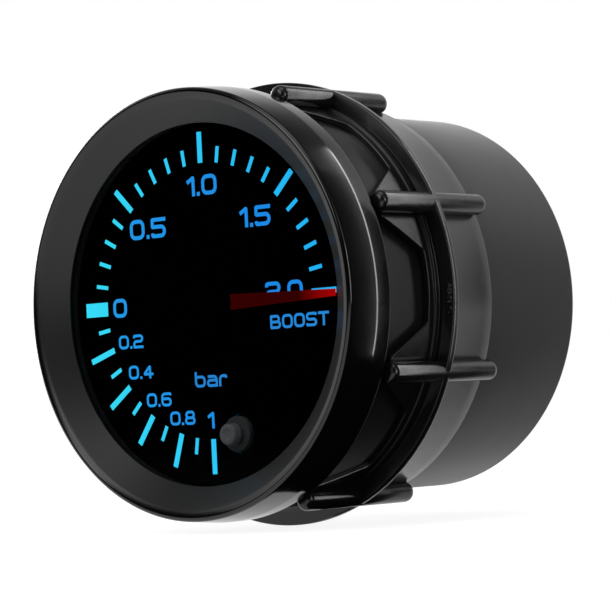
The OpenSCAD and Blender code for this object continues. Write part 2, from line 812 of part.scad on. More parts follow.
module front_plate() color("#c2a15a") flat(plate_y, plate_thickness) difference() {
    union() {
        plate_outline();
        for (p = dial_post_places) {
            strap([0, 0], p, strap_width);
            translate(p) circle(r = lobe_r);
        }
    }
    plate_holes();
}

module rear_plate() color("#c2a15a") flat(rear_plate_y, plate_thickness) difference() {
    union() {
        plate_outline();
        strap([0, 0], port_place, 2 * strap_width);
    }
    plate_holes();
    translate(port_place) circle(r = screw_hole_r);
}

module pillars() color("#c9b070") difference() {
    for (p = pillar_places) rod(p, plate_rear_y, plate_gap, pillar_r);
    for (p = pillar_places)
        rod(p, plate_rear_y - overrun, plate_gap + 2 * overrun, screw_hole_r);
}

// The pillar screws enter from behind, and one screw goes through the rear plate into the socket
module plate_screws() color("#a9acae") {
    for (p = pillar_places)
        slotted_screw(p, movement_rear_y, movement_rear_y - plate_y, small_screw_r,
            small_head_h, small_head_r);
    mirror([0, 1, 0]) slotted_screw(port_place, -rear_plate_y, plate_thickness + small_head_h + overrun,
        small_screw_r, small_head_h, small_head_r);
}

module sector_gear() color("#cdb06a") flat(sector_y, sector_thickness) translate(sector_place)
    difference() {
        first = -sector_spare_teeth;
        last = first + sector_tooth_count - 1;
        foot_r = sector_r - tooth_foot;
        rim_r = foot_r - sector_rim_width;
        half = sector_tooth_angle / 2;
        union() {
            polygon(concat(
                [polar(foot_r, first * sector_tooth_angle - half)],
                [for (i = [first:last]) each tooth(sector_teeth, i * sector_tooth_angle)],
                [polar(foot_r, last * sector_tooth_angle + half)],
                arc([0, 0], rim_r, last * sector_tooth_angle + half, first * sector_tooth_angle - half)
            ));
            circle(r = sector_hub_r);
            for (a = [first * sector_tooth_angle + half, last * sector_tooth_angle - half])
                rotate(a) translate([0, -sector_arm_width / 2])
                    square([rim_r + sector_rim_width / 2, sector_arm_width]);
            strap([0, 0], polar(tail_length, tail_angle), link_width);
        }
        circle(r = sector_arbor_r);
        translate(polar(tail_length, tail_angle)) circle(r = link_pin_r);
    }

module sector_arbor() color("#c8cbce")
    rod(sector_place, plate_y, movement_rear_y - plate_y, sector_arbor_r);

module link() color("#d0b878") flat(link_y, link_thickness) difference() {
    union() {
        strap(tail_place, tip_place, link_width);
        translate(tail_place) circle(d = link_width);
    }
    translate(tail_place) circle(r = link_pin_r + running_gap);
    translate(tip_place) circle(r = link_pin_r);
}

// The pin in the sector's tail, on which the link turns
module tail_pin() color("#c8cbce")
    rod(tail_place, link_y, sector_y + sector_thickness - link_y, link_pin_r);

// The pin in the link, which the tube's tip takes in its slot
module tip_pin() color("#c8cbce")
    rod(tip_place, tip_y, link_y + link_thickness - tip_y, link_pin_r);

module hairspring() color("#9fb0c8") flat(spring_y, spring_h) {
    steps = 20 * spring_turns;
    radii = [for (i = [0:steps]) spring_inner_r + (spring_outer_r - spring_inner_r) * i / steps];
    angles = [for (i = [0:steps]) spring_end_angle - 360 * spring_turns * (1 - i / steps)];
    polygon(concat(
        [for (i = [0:steps]) polar(radii[i] + spring_strip_thickness / 2, angles[i])],
        [for (i = [steps:-1:0]) polar(radii[i] - spring_strip_thickness / 2, angles[i])]
    ));
}

module hairspring_collet() color("#c9b070") ring(collet_y, collet_h, collet_r, arbor_d / 2);

module hairspring_stud() color("#c9b070")
    from_front(plate_rear_y) rotate(spring_end_angle)
        translate([spring_outer_r - stud_width / 2, 0, 0])
            cube([stud_width, stud_width, spring_y + spring_h + seat_gap - plate_rear_y]);

module tube_section(inset) {
    half = tube_width / 2 - inset;
    thick = tube_thickness / 2 - inset;
    bend = tube_corner_share * (tube_thickness - 2 * inset);
    corner = [thick - bend, half - bend];
    polygon([for (i = [0:3]) each arc(
        [corner[0] * (i % 3 == 0 ? 1 : -1), corner[1] * (i < 2 ? 1 : -1)], bend, 90 * i, 90 * (i + 1), 6
    )]);
}

module bourdon_tube() color("#c58a4a")
    from_front(tube_mid_y) rotate(tube_start) rotate_extrude(angle = tube_sweep)
        translate([tube_r, 0]) difference() {
            tube_section(0);
            tube_section(tube_wall);
        }

module tube_tip() color("#b8934a") difference() {
    cap_flat = tube_thickness + 2 * tube_wall;
    union() {
        from_front(tube_y) rotate(tube_end) rotate_extrude(angle = tip_clamp_angle)
            translate([tube_r - cap_flat / 2, 0]) square([cap_flat, tube_width]);
        flat(tip_y, tip_plate_thickness) {
            strap(polar(tube_r, tube_end + tip_clamp_angle / 2), tip_place, 3 * tip_slot_r);
            strap(tip_place, tip_place + tip_travel, 4 * tip_slot_r);
            translate(tip_place) circle(r = 2 * tip_slot_r);
        }
    }
    flat(tip_y - overrun, tip_plate_thickness + 2 * overrun) {
        translate(tip_place) circle(r = tip_slot_r);
        strap(tip_place, tip_place + tip_travel, 2 * tip_slot_r);
    }
}

bezel();
lens();
lens_gasket();
can();
locking_collar();
rear_cover();
cover_screws();
wire_grommet();
pressure_socket();
port_washer();
port_nut();
hose_nipple();
dial();
light_guide();
led_board();
leds();
board_cable();
control_board();
control_parts();
control_posts();
dial_posts();
needle();
needle_hub();
pinion_arbor();
button();
switch_plunger();
switch_body();
front_plate();
rear_plate();
pillars();
plate_screws();
sector_gear();
sector_arbor();
tail_pin();
link();
tip_pin();
hairspring();
hairspring_collet();
hairspring_stud();
bourdon_tube();
tube_tip();
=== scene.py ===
"""Looks of a lit boost gauge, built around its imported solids.

The gauge's axis is Y: the dial faces -Y, the fittings leave towards +Y and Z is up.
Sizes are millimetres of that frame unless a name says otherwise.
"""

import logging
import math
import random
from collections.abc import Sequence
from dataclasses import dataclass, field
from enum import Enum

import bmesh
import bpy
from mathutils import Matrix, Vector


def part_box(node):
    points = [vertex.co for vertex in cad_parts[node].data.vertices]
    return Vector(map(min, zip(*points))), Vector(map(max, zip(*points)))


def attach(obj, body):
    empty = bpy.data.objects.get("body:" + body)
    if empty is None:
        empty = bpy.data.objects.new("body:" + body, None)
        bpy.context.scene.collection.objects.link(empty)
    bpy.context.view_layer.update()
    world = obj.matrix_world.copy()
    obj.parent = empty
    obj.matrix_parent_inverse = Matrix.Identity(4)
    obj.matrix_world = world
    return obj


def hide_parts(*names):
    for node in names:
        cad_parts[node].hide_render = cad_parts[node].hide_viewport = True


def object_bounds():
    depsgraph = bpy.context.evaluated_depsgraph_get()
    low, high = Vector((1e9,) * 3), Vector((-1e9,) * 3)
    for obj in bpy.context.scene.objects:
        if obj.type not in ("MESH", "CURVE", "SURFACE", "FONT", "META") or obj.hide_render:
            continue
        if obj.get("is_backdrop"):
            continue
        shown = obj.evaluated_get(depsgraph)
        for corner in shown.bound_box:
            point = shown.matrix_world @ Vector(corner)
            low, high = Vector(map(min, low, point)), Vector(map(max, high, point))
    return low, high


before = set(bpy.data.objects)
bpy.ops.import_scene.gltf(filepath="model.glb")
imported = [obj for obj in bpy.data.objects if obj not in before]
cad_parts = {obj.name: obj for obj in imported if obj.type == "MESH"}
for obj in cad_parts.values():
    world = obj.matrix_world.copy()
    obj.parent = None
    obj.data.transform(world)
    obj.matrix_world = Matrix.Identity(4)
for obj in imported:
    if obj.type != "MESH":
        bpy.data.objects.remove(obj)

LOG = logging.getLogger("boost_gauge")
CAD_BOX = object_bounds()

MM = 0.001
SEGMENTS = 192
SMOOTH_DEG = 32.0
ROUND_STEPS = 3
STRAIGHT_RAD = 0.02  # a corner this near to straight isn't rounded
REACH_SHARE = 0.49  # of the shorter side, which a corner's round may use
MITRE_LEAST = 0.4  # keeps a stroke's outer corner from running far out
WELD_MM = 0.0005
SLIVER_MM = 0.0002
SEED = 7

Point = tuple[float, float, float]
Flat = tuple[float, float]
Corner = tuple[float, float, float]
Rows = Sequence[Sequence[Point]]
Strokes = list[list[tuple[float, ...]]]
Word = tuple[str, float, float, float]
Card = tuple[str, float, float, float, Flat, bool]
Lamp = tuple[str, float, float, float, Flat, float]
Socket = bpy.types.NodeSocket
Tree = bpy.types.NodeTree


def linear(hex_colour: str) -> tuple[float, float, float, float]:
    """Turns an sRGB hex colour into Blender's linear colour.

    Args:
        hex_colour: Six hex digits after a hash.

    Returns:
        Red, green, blue and an alpha of 1.
    """
    parts = [int(hex_colour[i:i + 2], 16) / 255 for i in (1, 3, 5)]
    low_end, slope, foot, power = 0.04045, 12.92, 0.055, 2.4
    turned = [p / slope if p <= low_end else ((p + foot) / (1 + foot)) ** power for p in parts]
    return turned[0], turned[1], turned[2], 1.0


def add_node(tree: Tree, kind: str, inputs: dict | None = None, **settings: object) -> bpy.types.Node:
    """Adds a node, sets its properties, and fills or links its sockets.

    Args:
        tree: The node tree that the node goes into.
        kind: Blender's name for the kind of node.
        inputs: A value, another node's output, or a node for its first output, for each input by name
            or number.
        settings: Properties of the node itself.

    Returns:
        The new node.
    """
    node = tree.nodes.new(kind)
    for key, value in settings.items():
        setattr(node, key, value)
    for key, value in (inputs or {}).items():
        if isinstance(value, bpy.types.Node):
            value = value.outputs[0]
        if isinstance(value, Socket):
            tree.links.new(value, node.inputs[key])
        else:
            node.inputs[key].default_value = value
    return node


def cleared(owner: bpy.types.Material | bpy.types.World) -> Tree:
    """Returns the emptied node tree of a material or world."""
    owner.use_nodes = True
    owner.node_tree.nodes.clear()
    return owner.node_tree


def from_axis(tree: Tree, place: Socket, axis: Flat = (0.0, 0.0)) -> Socket:
    """Measures how far a place is from an axis along Y.

    Args:
        tree: The material's tree.
        place: Coordinates in metres.
        axis: The axis in the front view, in millimetres.

    Returns:
        The distance in metres.
    """
    centred = add_node(tree, "ShaderNodeVectorMath", {0: place, 1: (axis[0] * MM, 0.0, axis[1] * MM)},
                       operation="SUBTRACT")
    level = add_node(tree, "ShaderNodeVectorMath", {0: centred, 1: (1.0, 0.0, 1.0)},
                     operation="MULTIPLY")
    length = add_node(tree, "ShaderNodeVectorMath", {0: level}, operation="LENGTH")
    return length.outputs["Value"]


def new_object(name: str, data: bpy.types.ID) -> bpy.types.Object:
    """Returns a new object that stands in the scene."""
    made = bpy.data.objects.new(name, data)
    bpy.context.scene.collection.objects.link(made)
    return made


class Side(Enum):
    """A side of a CAD node's box, as the corner and the axis that give it."""

    FRONT = (0, 1)
    REAR = (1, 1)
    RIGHT = (1, 0)


def cad_side(node: str, side: Side) -> float:
    """Returns a dataclass field that reads where a CAD node's box ends, in millimetres."""
    corner, axis = side.value
    return field(default_factory=lambda: (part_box(node)[corner] / MM)[axis])


def polar(radius: float, degrees: float) -> Flat:
    """Returns the front view's x and z of a place, from the right and turning up."""
    return radius * math.cos(math.radians(degrees)), radius * math.sin(math.radians(degrees))


def sweep(first_deg: float, last_deg: float, steps: int) -> list[float]:
    """Returns even angles from the first to the last."""
    return [first_deg + (last_deg - first_deg) * i / steps for i in range(steps + 1)]


def quarter(steps: int) -> list[Flat]:
    """Returns the cosines and sines of a quarter turn."""
    return [polar(1.0, a) for a in sweep(0, 90, steps)]


# Finishes


@dataclass(frozen=True)
class Finish:
    """A material with clouded colour, uneven gloss and a fine relief.

    Lengths are the real sizes of the patterns in millimetres.
    """

    name: str
    colour: str
    roughness: float
    metallic: float = 0.0
    ior: float = 1.5
    gloss: float = 0.5
    cloud_mm: float = 5.0
    cloud_share: float = 0.12
    grain_mm: float = 0.25
    grain_depth_mm: float = 0.004
    uneven: float = 0.04
    settings: dict = field(default_factory=dict)

    def noise(self, tree: Tree, place: Socket, size_mm: float, detail: float = 2.0) -> Socket:
        """Returns noise whose lumps are about size_mm across.

        Args:
            tree: The material's tree.
            place: The coordinates that the noise follows, in metres.
            size_mm: Real size of a lump.
            detail: Octaves of finer noise.

        Returns:
            The noise's value.
        """
        node = add_node(tree, "ShaderNodeTexNoise", {
            "Vector": place, "Scale": 1 / (size_mm * MM), "Detail": detail})
        return node.outputs["Fac"]

    def tint(self, tree: Tree, place: Socket) -> Socket:
        """Returns the colour, a little darker and lighter in soft clouds."""
        base = linear(self.colour)
        low, high = ([c * (1 + side * self.cloud_share) for c in base[:3]] + [1.0] for side in (-1, 1))
        fac = self.noise(tree, place, self.cloud_mm, 3.0)
        mix = add_node(tree, "ShaderNodeMix", {"Factor": fac, 6: low, 7: high}, data_type="RGBA")
        return mix.outputs[2]

    def relief(self, tree: Tree, place: Socket) -> Socket:
        """Returns the height of the fine relief, from 0 to 1."""
        return self.noise(tree, place, self.grain_mm, 3.0)

    def shine(self, tree: Tree, place: Socket) -> Socket:
        """Returns the roughness, which wanders by the finish's unevenness."""
        span = add_node(tree, "ShaderNodeMapRange", {
            "Value": self.noise(tree, place, self.cloud_mm / 2),
            "To Min": max(0.0, self.roughness - self.uneven), "To Max": self.roughness + self.uneven})
        return span.outputs["Result"]

    def surface(self, tree: Tree, place: Socket) -> Socket:
        """Builds the shader.

        Args:
            tree: The material's tree.
            place: Object coordinates in metres.

        Returns:
            The shader's output.
        """
        bump = add_node(tree, "ShaderNodeBump", {
            "Height": self.relief(tree, place), "Distance": self.grain_depth_mm * MM})
        shader = add_node(tree, "ShaderNodeBsdfPrincipled", {
            "Base Color": self.tint(tree, place), "Roughness": self.shine(tree, place),
            "Normal": bump, "Metallic": self.metallic, "IOR": self.ior,
            "Specular IOR Level": self.gloss, **self.settings})
        return shader.outputs["BSDF"]

    def material(self) -> bpy.types.Material:
        """Returns the material, made at its first use."""
        made = bpy.data.materials.get(self.name)
        if made is None:
            made = bpy.data.materials.new(self.name)
            made.diffuse_color = linear(self.colour)
            tree = cleared(made)
            place = add_node(tree, "ShaderNodeTexCoord").outputs["Object"]
            add_node(tree, "ShaderNodeOutputMaterial", {"Surface": self.surface(tree, place)})
        return made


@dataclass(frozen=True)
class DustyPlastic(Finish):
    """Moulded plastic on which a few bright specks of dust lie."""

    dust_mm: float = 0.9
    dust_cover: float = 0.012
    dust_reach: float = 0.09
    dust_colour: str = "#8c8c88"

    def tint(self, tree: Tree, place: Socket) -> Socket:
        """Returns the clouded colour with specks where cells of noise peak."""
        cells = add_node(tree, "ShaderNodeTexVoronoi", {
            "Vector": place, "Scale": 1 / (self.dust_mm * MM)})
        chosen = add_node(tree, "ShaderNodeMath", {0: cells.outputs["Color"], 1: 1 - self.dust_cover},
                          operation="GREATER_THAN")
        near = add_node(tree, "ShaderNodeMath", {0: cells.outputs["Distance"], 1: self.dust_reach},
                        operation="LESS_THAN")
        speck = add_node(tree, "ShaderNodeMath", {0: chosen, 1: near}, operation="MULTIPLY")
        mix = add_node(tree, "ShaderNodeMix", {
            "Factor": speck, 6: super().tint(tree, place), 7: linear(self.dust_colour)},
            data_type="RGBA")
        return mix.outputs[2]


@dataclass(frozen=True)
class TurnedMetal(Finish):
    """Metal cut on a lathe, with tool marks that run round an axis along Y."""

    axis: Flat = (0.0, 0.0)

    def relief(self, tree: Tree, place: Socket) -> Socket:
        """Returns ring marks from noise that reads only the radius and the depth."""
        split = add_node(tree, "ShaderNodeSeparateXYZ", {"Vector": place})
        ring = add_node(tree, "ShaderNodeCombineXYZ", {
            "X": from_axis(tree, place, self.axis), "Y": split.outputs["Y"]})
        return self.noise(tree, ring.outputs[0], self.grain_mm, 4.0)


@dataclass(frozen=True)
class SatinSlope(DustyPlastic):
    """Gloss enamel that is rubbed satin inside a radius, against glare round the lens."""

    satin: float = 0.42
    satin_r: float = 26.7
    gloss_r: float = 27.6

    def shine(self, tree: Tree, place: Socket) -> Socket:
        """Returns the roughness, which falls from the satin slope to the glossy side."""
        outward = add_node(tree, "ShaderNodeMapRange", {
            "Value": from_axis(tree, place), "From Min": self.satin_r * MM,
            "From Max": self.gloss_r * MM})
        mix = add_node(tree, "ShaderNodeMix", {
            "Factor": outward, 2: self.satin, 3: super().shine(tree, place)}, data_type="FLOAT")
        return mix.outputs[0]


@dataclass(frozen=True)
class LitWindow(Finish):
    """Something lit from within, whose colour runs from its near side to its far side."""

    far_colour: str = "#20b0ff"
    near_x: float = -20.0
    far_x: float = 20.0
    light: float = 1.0
    blotch: float = 0.06
    unlit: str = "#050506"

    def surface(self, tree: Tree, place: Socket) -> Socket:
        """Returns a glowing shader whose colour runs from the near side to the far side."""
        split = add_node(tree, "ShaderNodeSeparateXYZ", {"Vector": place})
        across = add_node(tree, "ShaderNodeMapRange", {
            "Value": split.outputs["X"], "From Min": self.near_x * MM, "From Max": self.far_x * MM})
        hue = add_node(tree, "ShaderNodeMix", {
            "Factor": across, 6: linear(self.colour), 7: linear(self.far_colour)}, data_type="RGBA")
        level = add_node(tree, "ShaderNodeMapRange", {
            "Value": self.noise(tree, place, self.cloud_mm), "To Min": self.light * (1 - self.blotch),
            "To Max": self.light * (1 + self.blotch)})
        shader = add_node(tree, "ShaderNodeBsdfPrincipled", {
            "Base Color": linear(self.unlit), "Roughness": self.roughness, "Specular IOR Level": 0.0,
            "Emission Color": hue.outputs[2], "Emission Strength": level})
        return shader.outputs["BSDF"]


@dataclass(frozen=True)
class Laminate(Finish):
    """Glass-fibre board under solder resist, with copper tracks that show as a relief."""

    track_mm: float = 1.6

    def relief(self, tree: Tree, place: Socket) -> Socket:
        """Returns square cells whose edges stand like tracks."""
        cells = add_node(tree, "ShaderNodeTexVoronoi", {
            "Vector": place, "Scale": 1 / (self.track_mm * MM)}, distance="MANHATTAN")
        return cells.outputs["Distance"]


class Surfaces(Enum):
    """The gauge's finishes, each named for its real material."""

    # Spun aluminium under black stove enamel: crisp along its side, satin on the slope at the lens
    BEZEL_ENAMEL = SatinSlope(
        "black_stove_enamel_on_spun_aluminium", "#0b0b0a", 0.11, gloss=0.45, cloud_mm=9,
        cloud_share=0.10, grain_mm=0.5, grain_depth_mm=0.0008, uneven=0.02, dust_mm=1.6, dust_cover=0.01)
    # Nylon collar from an edge-gated mould: a low gloss skin, bright on its sharp edges
    COLLAR_NYLON = DustyPlastic(
        "glass_filled_nylon_moulded", "#151515", 0.22, gloss=0.42, cloud_mm=3, cloud_share=0.18,
        grain_mm=0.35, grain_depth_mm=0.0022, uneven=0.05, dust_mm=0.8, dust_cover=0.02)
    # ABS can: even satin from a spark-eroded mould, so that it greys softly towards its edges
    CAN_ABS = DustyPlastic(
        "abs_moulded_satin", "#0b0b0b", 0.42, gloss=0.18, cloud_mm=12, cloud_share=0.06, grain_mm=0.18,
        grain_depth_mm=0.003, uneven=0.03, dust_mm=2.4, dust_cover=0.01,
        settings={"Sheen Weight": 1.0, "Sheen Roughness": 0.32})
    # ABS cover in a coarser texture than the can, so that it looks greyer and drier
    COVER_ABS = DustyPlastic(
        "abs_moulded_cover", "#191919", 0.46, gloss=0.42, cloud_mm=8, grain_mm=0.22,
        grain_depth_mm=0.006, dust_mm=2.0)
    # Acrylic, cast, tinted and lens coated: mostly seen through, and it barely mirrors the room
    LENS_ACRYLIC = Finish(
        "cast_acrylic_smoke_tinted_coated", "#020203", 0.05, ior=1.49, gloss=0.02, cloud_mm=30,
        grain_mm=20, grain_depth_mm=0.0002, uneven=0.01, settings={"Alpha": 0.2})
    # Polycarbonate film under matt ink: the eye finds no surface between the lit marks
    DIAL_FILM = Finish(
        "polycarbonate_film_printed_black", "#010101", 0.62, gloss=0.0, cloud_mm=2, cloud_share=0.25,
        grain_mm=0.12, grain_depth_mm=0.0006)
    # Diffusing film, lit from behind, cyan at the left and bluer to the right
    MARKS = LitWindow(
        "diffusing_film_lit_cyan", "#38e2ff", 0.6, far_colour="#22b8ff", light=1.42, cloud_mm=2.5)
    NUMERALS = LitWindow(
        "diffusing_film_lit_blue", "#27a8ff", 0.6, far_colour="#2096ff", light=1.2, cloud_mm=1.2,
        near_x=-16, far_x=16)
    WORDS = LitWindow(
        "diffusing_film_lit_dim_blue", "#2a8fe6", 0.6, far_colour="#2c97f0", light=1.2, cloud_mm=1.2,
        near_x=-3, far_x=18)
    # Acrylic needle, moulded red and lit through the hub, brightest at its thin tip
    NEEDLE_ACRYLIC = LitWindow(
        "acrylic_moulded_red_lit", "#380000", 0.3, far_colour="#b80200", light=1.25, near_x=16.5,
        far_x=22.4, cloud_mm=3, blotch=0.08)
    # Matt ABS, which sinks into the black of the dial
    HUB_ABS = Finish("abs_moulded_matt_black", "#010101", 0.6, gloss=0.0, grain_mm=0.15)
    # Rubbers: dull and faintly mottled
    BUTTON_SILICONE = Finish(
        "silicone_rubber_frosted", "#4a4c4e", 0.7, gloss=0.25, cloud_mm=0.5, cloud_share=0.35,
        grain_mm=0.14, grain_depth_mm=0.02)
    SEAL_NITRILE = Finish(
        "nitrile_rubber_moulded", "#131313", 0.72, gloss=0.3, cloud_mm=1.2, cloud_share=0.25,
        grain_mm=0.12, grain_depth_mm=0.01)
    # Turned metals: fine rings stretch a highlight across them
    BRASS = TurnedMetal(
        "brass_turned", "#c79a4e", 0.28, metallic=1.0, grain_mm=0.12, grain_depth_mm=0.006,
        cloud_mm=2.0, cloud_share=0.10, uneven=0.06, axis=(0.0, -13.0))
    ZINC_STEEL = TurnedMetal(
        "steel_zinc_plated", "#a8abac", 0.36, metallic=1.0, grain_mm=0.15, cloud_mm=0.8)
    # Sheet, wire and pins inside the case, each as smooth as it is worked
    BRASS_SHEET = Finish(
        "brass_stamped_sheet", "#bd9650", 0.34, metallic=1.0, grain_mm=0.1, grain_depth_mm=0.003,
        cloud_mm=3.0)
    PHOSPHOR_BRONZE = Finish(
        "phosphor_bronze_drawn", "#b57a45", 0.36, metallic=1.0, grain_mm=0.3, grain_depth_mm=0.003,
        cloud_mm=4.0)
    GROUND_STEEL = Finish(
        "steel_ground", "#b9bcbf", 0.24, metallic=1.0, grain_mm=0.06, grain_depth_mm=0.001)
    # Acrylic light guide: a dim glow at the rims of the dial's windows
    GUIDE_ACRYLIC = LitWindow(
        "acrylic_light_guide", "#123640", 0.5, far_colour="#0c2c40", light=0.5, cloud_mm=4)
    BOARD = Laminate("glass_epoxy_under_solder_resist", "#0f3a22", 0.38, grain_depth_mm=0.03, cloud_mm=4)
    EPOXY_CLEAR = Finish("epoxy_cast_clear", "#dfe6ea", 0.2, grain_mm=0.3, grain_depth_mm=0.002)
    EPOXY_BLACK = Finish("epoxy_moulded_black", "#141416", 0.5, gloss=0.4, grain_mm=0.08)
    RIBBON_PVC = Finish("pvc_ribbon", "#4a4a4e", 0.45, grain_mm=0.6, grain_depth_mm=0.02)

    def material(self) -> bpy.types.Material:
        """Returns the finish's material."""
        return self.value.material()


# Mesh building


def fillet(corners: Sequence[Corner], closed: bool = True, steps: int = 5) -> list[Flat]:
    """Rounds the corners of an outline.

    Args:
        corners: Two coordinates and the radius of each corner.
        closed: Whether the last corner joins the first.
        steps: Parts of each arc.

    Returns:
        The outline's points.
    """
    points: list[Flat] = []
    count = len(corners)
    for i, (x, y, radius) in enumerate(corners):
        if radius <= 0 or (not closed and i in (0, count - 1)):
            points.append((x, y))
            continue
        here = Vector((x, y))
        before = Vector(corners[i - 1][:2]) - here
        after = Vector(corners[(i + 1) % count][:2]) - here
        opening = before.angle(after)
        if math.pi - opening < STRAIGHT_RAD:
            points.append((x, y))
            continue
        reach = min(radius / math.tan(opening / 2), REACH_SHARE * min(before.length, after.length))
        rounded = reach * math.tan(opening / 2)
        between = (before.normalized() + after.normalized()).normalized()
        centre = here + between * (rounded / math.sin(opening / 2))
        start = here + before.normalized() * reach - centre
        turn = start.angle_signed(here + after.normalized() * reach - centre)
        for step in range(steps + 1):
            spoke = start.copy()
            spoke.rotate(Matrix.Rotation(-turn * step / steps, 2))
            points.append(tuple(centre + spoke))
    return points


@dataclass
class Draft:
    """The points and faces of one piece, before it becomes an object."""

    points: list[Point] = field(default_factory=list)
    faces: list[tuple[int, ...]] = field(default_factory=list)

    def grid(self, rows: Rows, wrap_rows: bool = False, wrap_columns: bool = False) -> None:
        """Adds a sheet of four-sided faces.

        Args:
            rows: Rows of points, all of one length.
            wrap_rows: Whether the last row joins the first.
            wrap_columns: Whether each row's last point joins its first.
        """
        start, width, height = len(self.points), len(rows[0]), len(rows)
        for row in rows:
            self.points.extend(row)
        for i in range(height if wrap_rows else height - 1):
            for j in range(width if wrap_columns else width - 1):
                near, far = start + i * width, start + (i + 1) % height * width
                self.faces.append((near + j, near + (j + 1) % width, far + (j + 1) % width, far + j))

    def lathe(self, profile: Sequence[Flat], centre: Flat = (0.0, 0.0), segments: int = SEGMENTS,
              closed: bool = True) -> None:
        """Adds a profile turned about an axis along Y.

        Args:
            profile: Points of radius and depth.
            centre: The axis in the front view.
            segments: Steps round the axis.
            closed: Whether the profile's last point joins its first.
        """
        rows = []
        for i in range(segments):
            c, s = polar(1.0, 360 * i / segments)
            rows.append([(centre[0] + r * c, y, centre[1] + r * s) for r, y in profile])
        self.grid(rows, wrap_rows=True, wrap_columns=closed)

    def prism(self, outline: Sequence[Flat], depths: Flat) -> None:
        """Adds a flat shape of the front view with a thickness along Y.

        Args:
            outline: Points of the front view.
            depths: Depth of the front and the rear face.
        """
        start, count = len(self.points), len(outline)
        self.points.extend((x, depth, z) for depth in depths for x, z in outline)
        self.faces.append(tuple(range(start, start + count)))
        self.faces.append(tuple(range(start + 2 * count - 1, start + count - 1, -1)))
        for i in range(count):
            j = (i + 1) % count
            self.faces.append((start + j, start + i, start + count + i, start + count + j))

    def ribbon(self, path: Sequence[Flat], width: float, depths: Flat, closed: bool) -> None:
        """Adds a stroke of even width along a path of the front view.

        Args:
            path: The stroke's middle line.
            width: The stroke's width.
            depths: Depth of its front and its rear face.
            closed: Whether the stroke ends where it starts.
        """
        front, rear = depths
        line = [Vector(p) for p in path]
        count = len(line)
        rows = []
        for i, here in enumerate(line):
            ways = []
            if closed or i:
                ways.append((here - line[i - 1]).normalized())
            if closed or i < count - 1:
                ways.append((line[(i + 1) % count] - here).normalized())
            along = sum(ways, Vector((0.0, 0.0))).normalized()
            side = Vector((-along.y, along.x)) * (width / 2 / max(MITRE_LEAST, along.dot(ways[0])))
            left, right = here + side, here - side
            rows.append([(left.x, front, left.y), (right.x, front, right.y),
                         (right.x, rear, right.y), (left.x, rear, left.y)])
        start = len(self.points)
        self.grid(rows, wrap_rows=closed, wrap_columns=True)
        if not closed:
            last = start + 4 * (count - 1)
            self.faces += [(start + 3, start + 2, start + 1, start),
                           (last, last + 1, last + 2, last + 3)]

    def piece(self, name: str, finish: Surfaces, body: str, replaces: Sequence[str] = (),
              slot: str | None = None, bevel_mm: float = 0.0) -> None:
        """Makes the piece's object.

        Args:
            name: The piece's name.
            finish: What it is made of.
            body: The CAD body that it rides on.
            replaces: CAD nodes that it stands for.
            slot: A material slot's name, which is not used.
            bevel_mm: Width of the round that a bevel puts on its sharp edges.
        """
        mesh = bpy.data.meshes.new(name)
        mesh.from_pydata([(x * MM, y * MM, z * MM) for x, y, z in self.points], [], self.faces)
        tidy = bmesh.new()
        tidy.from_mesh(mesh)
        bmesh.ops.remove_doubles(tidy, verts=tidy.verts, dist=WELD_MM * MM)
        bmesh.ops.dissolve_degenerate(tidy, edges=tidy.edges, dist=SLIVER_MM * MM)
        bmesh.ops.recalc_face_normals(tidy, faces=tidy.faces)
        tidy.to_mesh(mesh)
        tidy.free()
        mesh.shade_smooth()
        mesh.set_sharp_from_angle(angle=math.radians(SMOOTH_DEG))
        mesh.materials.append(finish.material())
        made = new_object(name, mesh)
        if bevel_mm:
            bevel = made.modifiers.new("edge_rounds", "BEVEL")
            bevel.width = bevel_mm * MM
            bevel.segments = ROUND_STEPS
            bevel.limit_method = "ANGLE"
            bevel.angle_limit = math.radians(SMOOTH_DEG)
        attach(made, body)
        if replaces:
            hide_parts(*replaces)
        LOG.info("made %s on %s with %d faces", name, body, len(mesh.polygons))


def dress(finish: Surfaces, *nodes: str) -> None:
    """Gives CAD nodes their finish.

    Args:
        finish: What the nodes are made of.
        nodes: Their names.
    """
    for name in nodes:
        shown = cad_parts[name]
        shown.data.materials.clear()
        shown.data.materials.append(finish.material())
        shown.data.shade_smooth()
        shown.data.set_sharp_from_angle(angle=math.radians(SMOOTH_DEG))
        LOG.info("dressed %s in %s", name, finish.value.name)


# The gauge's sub-assemblies


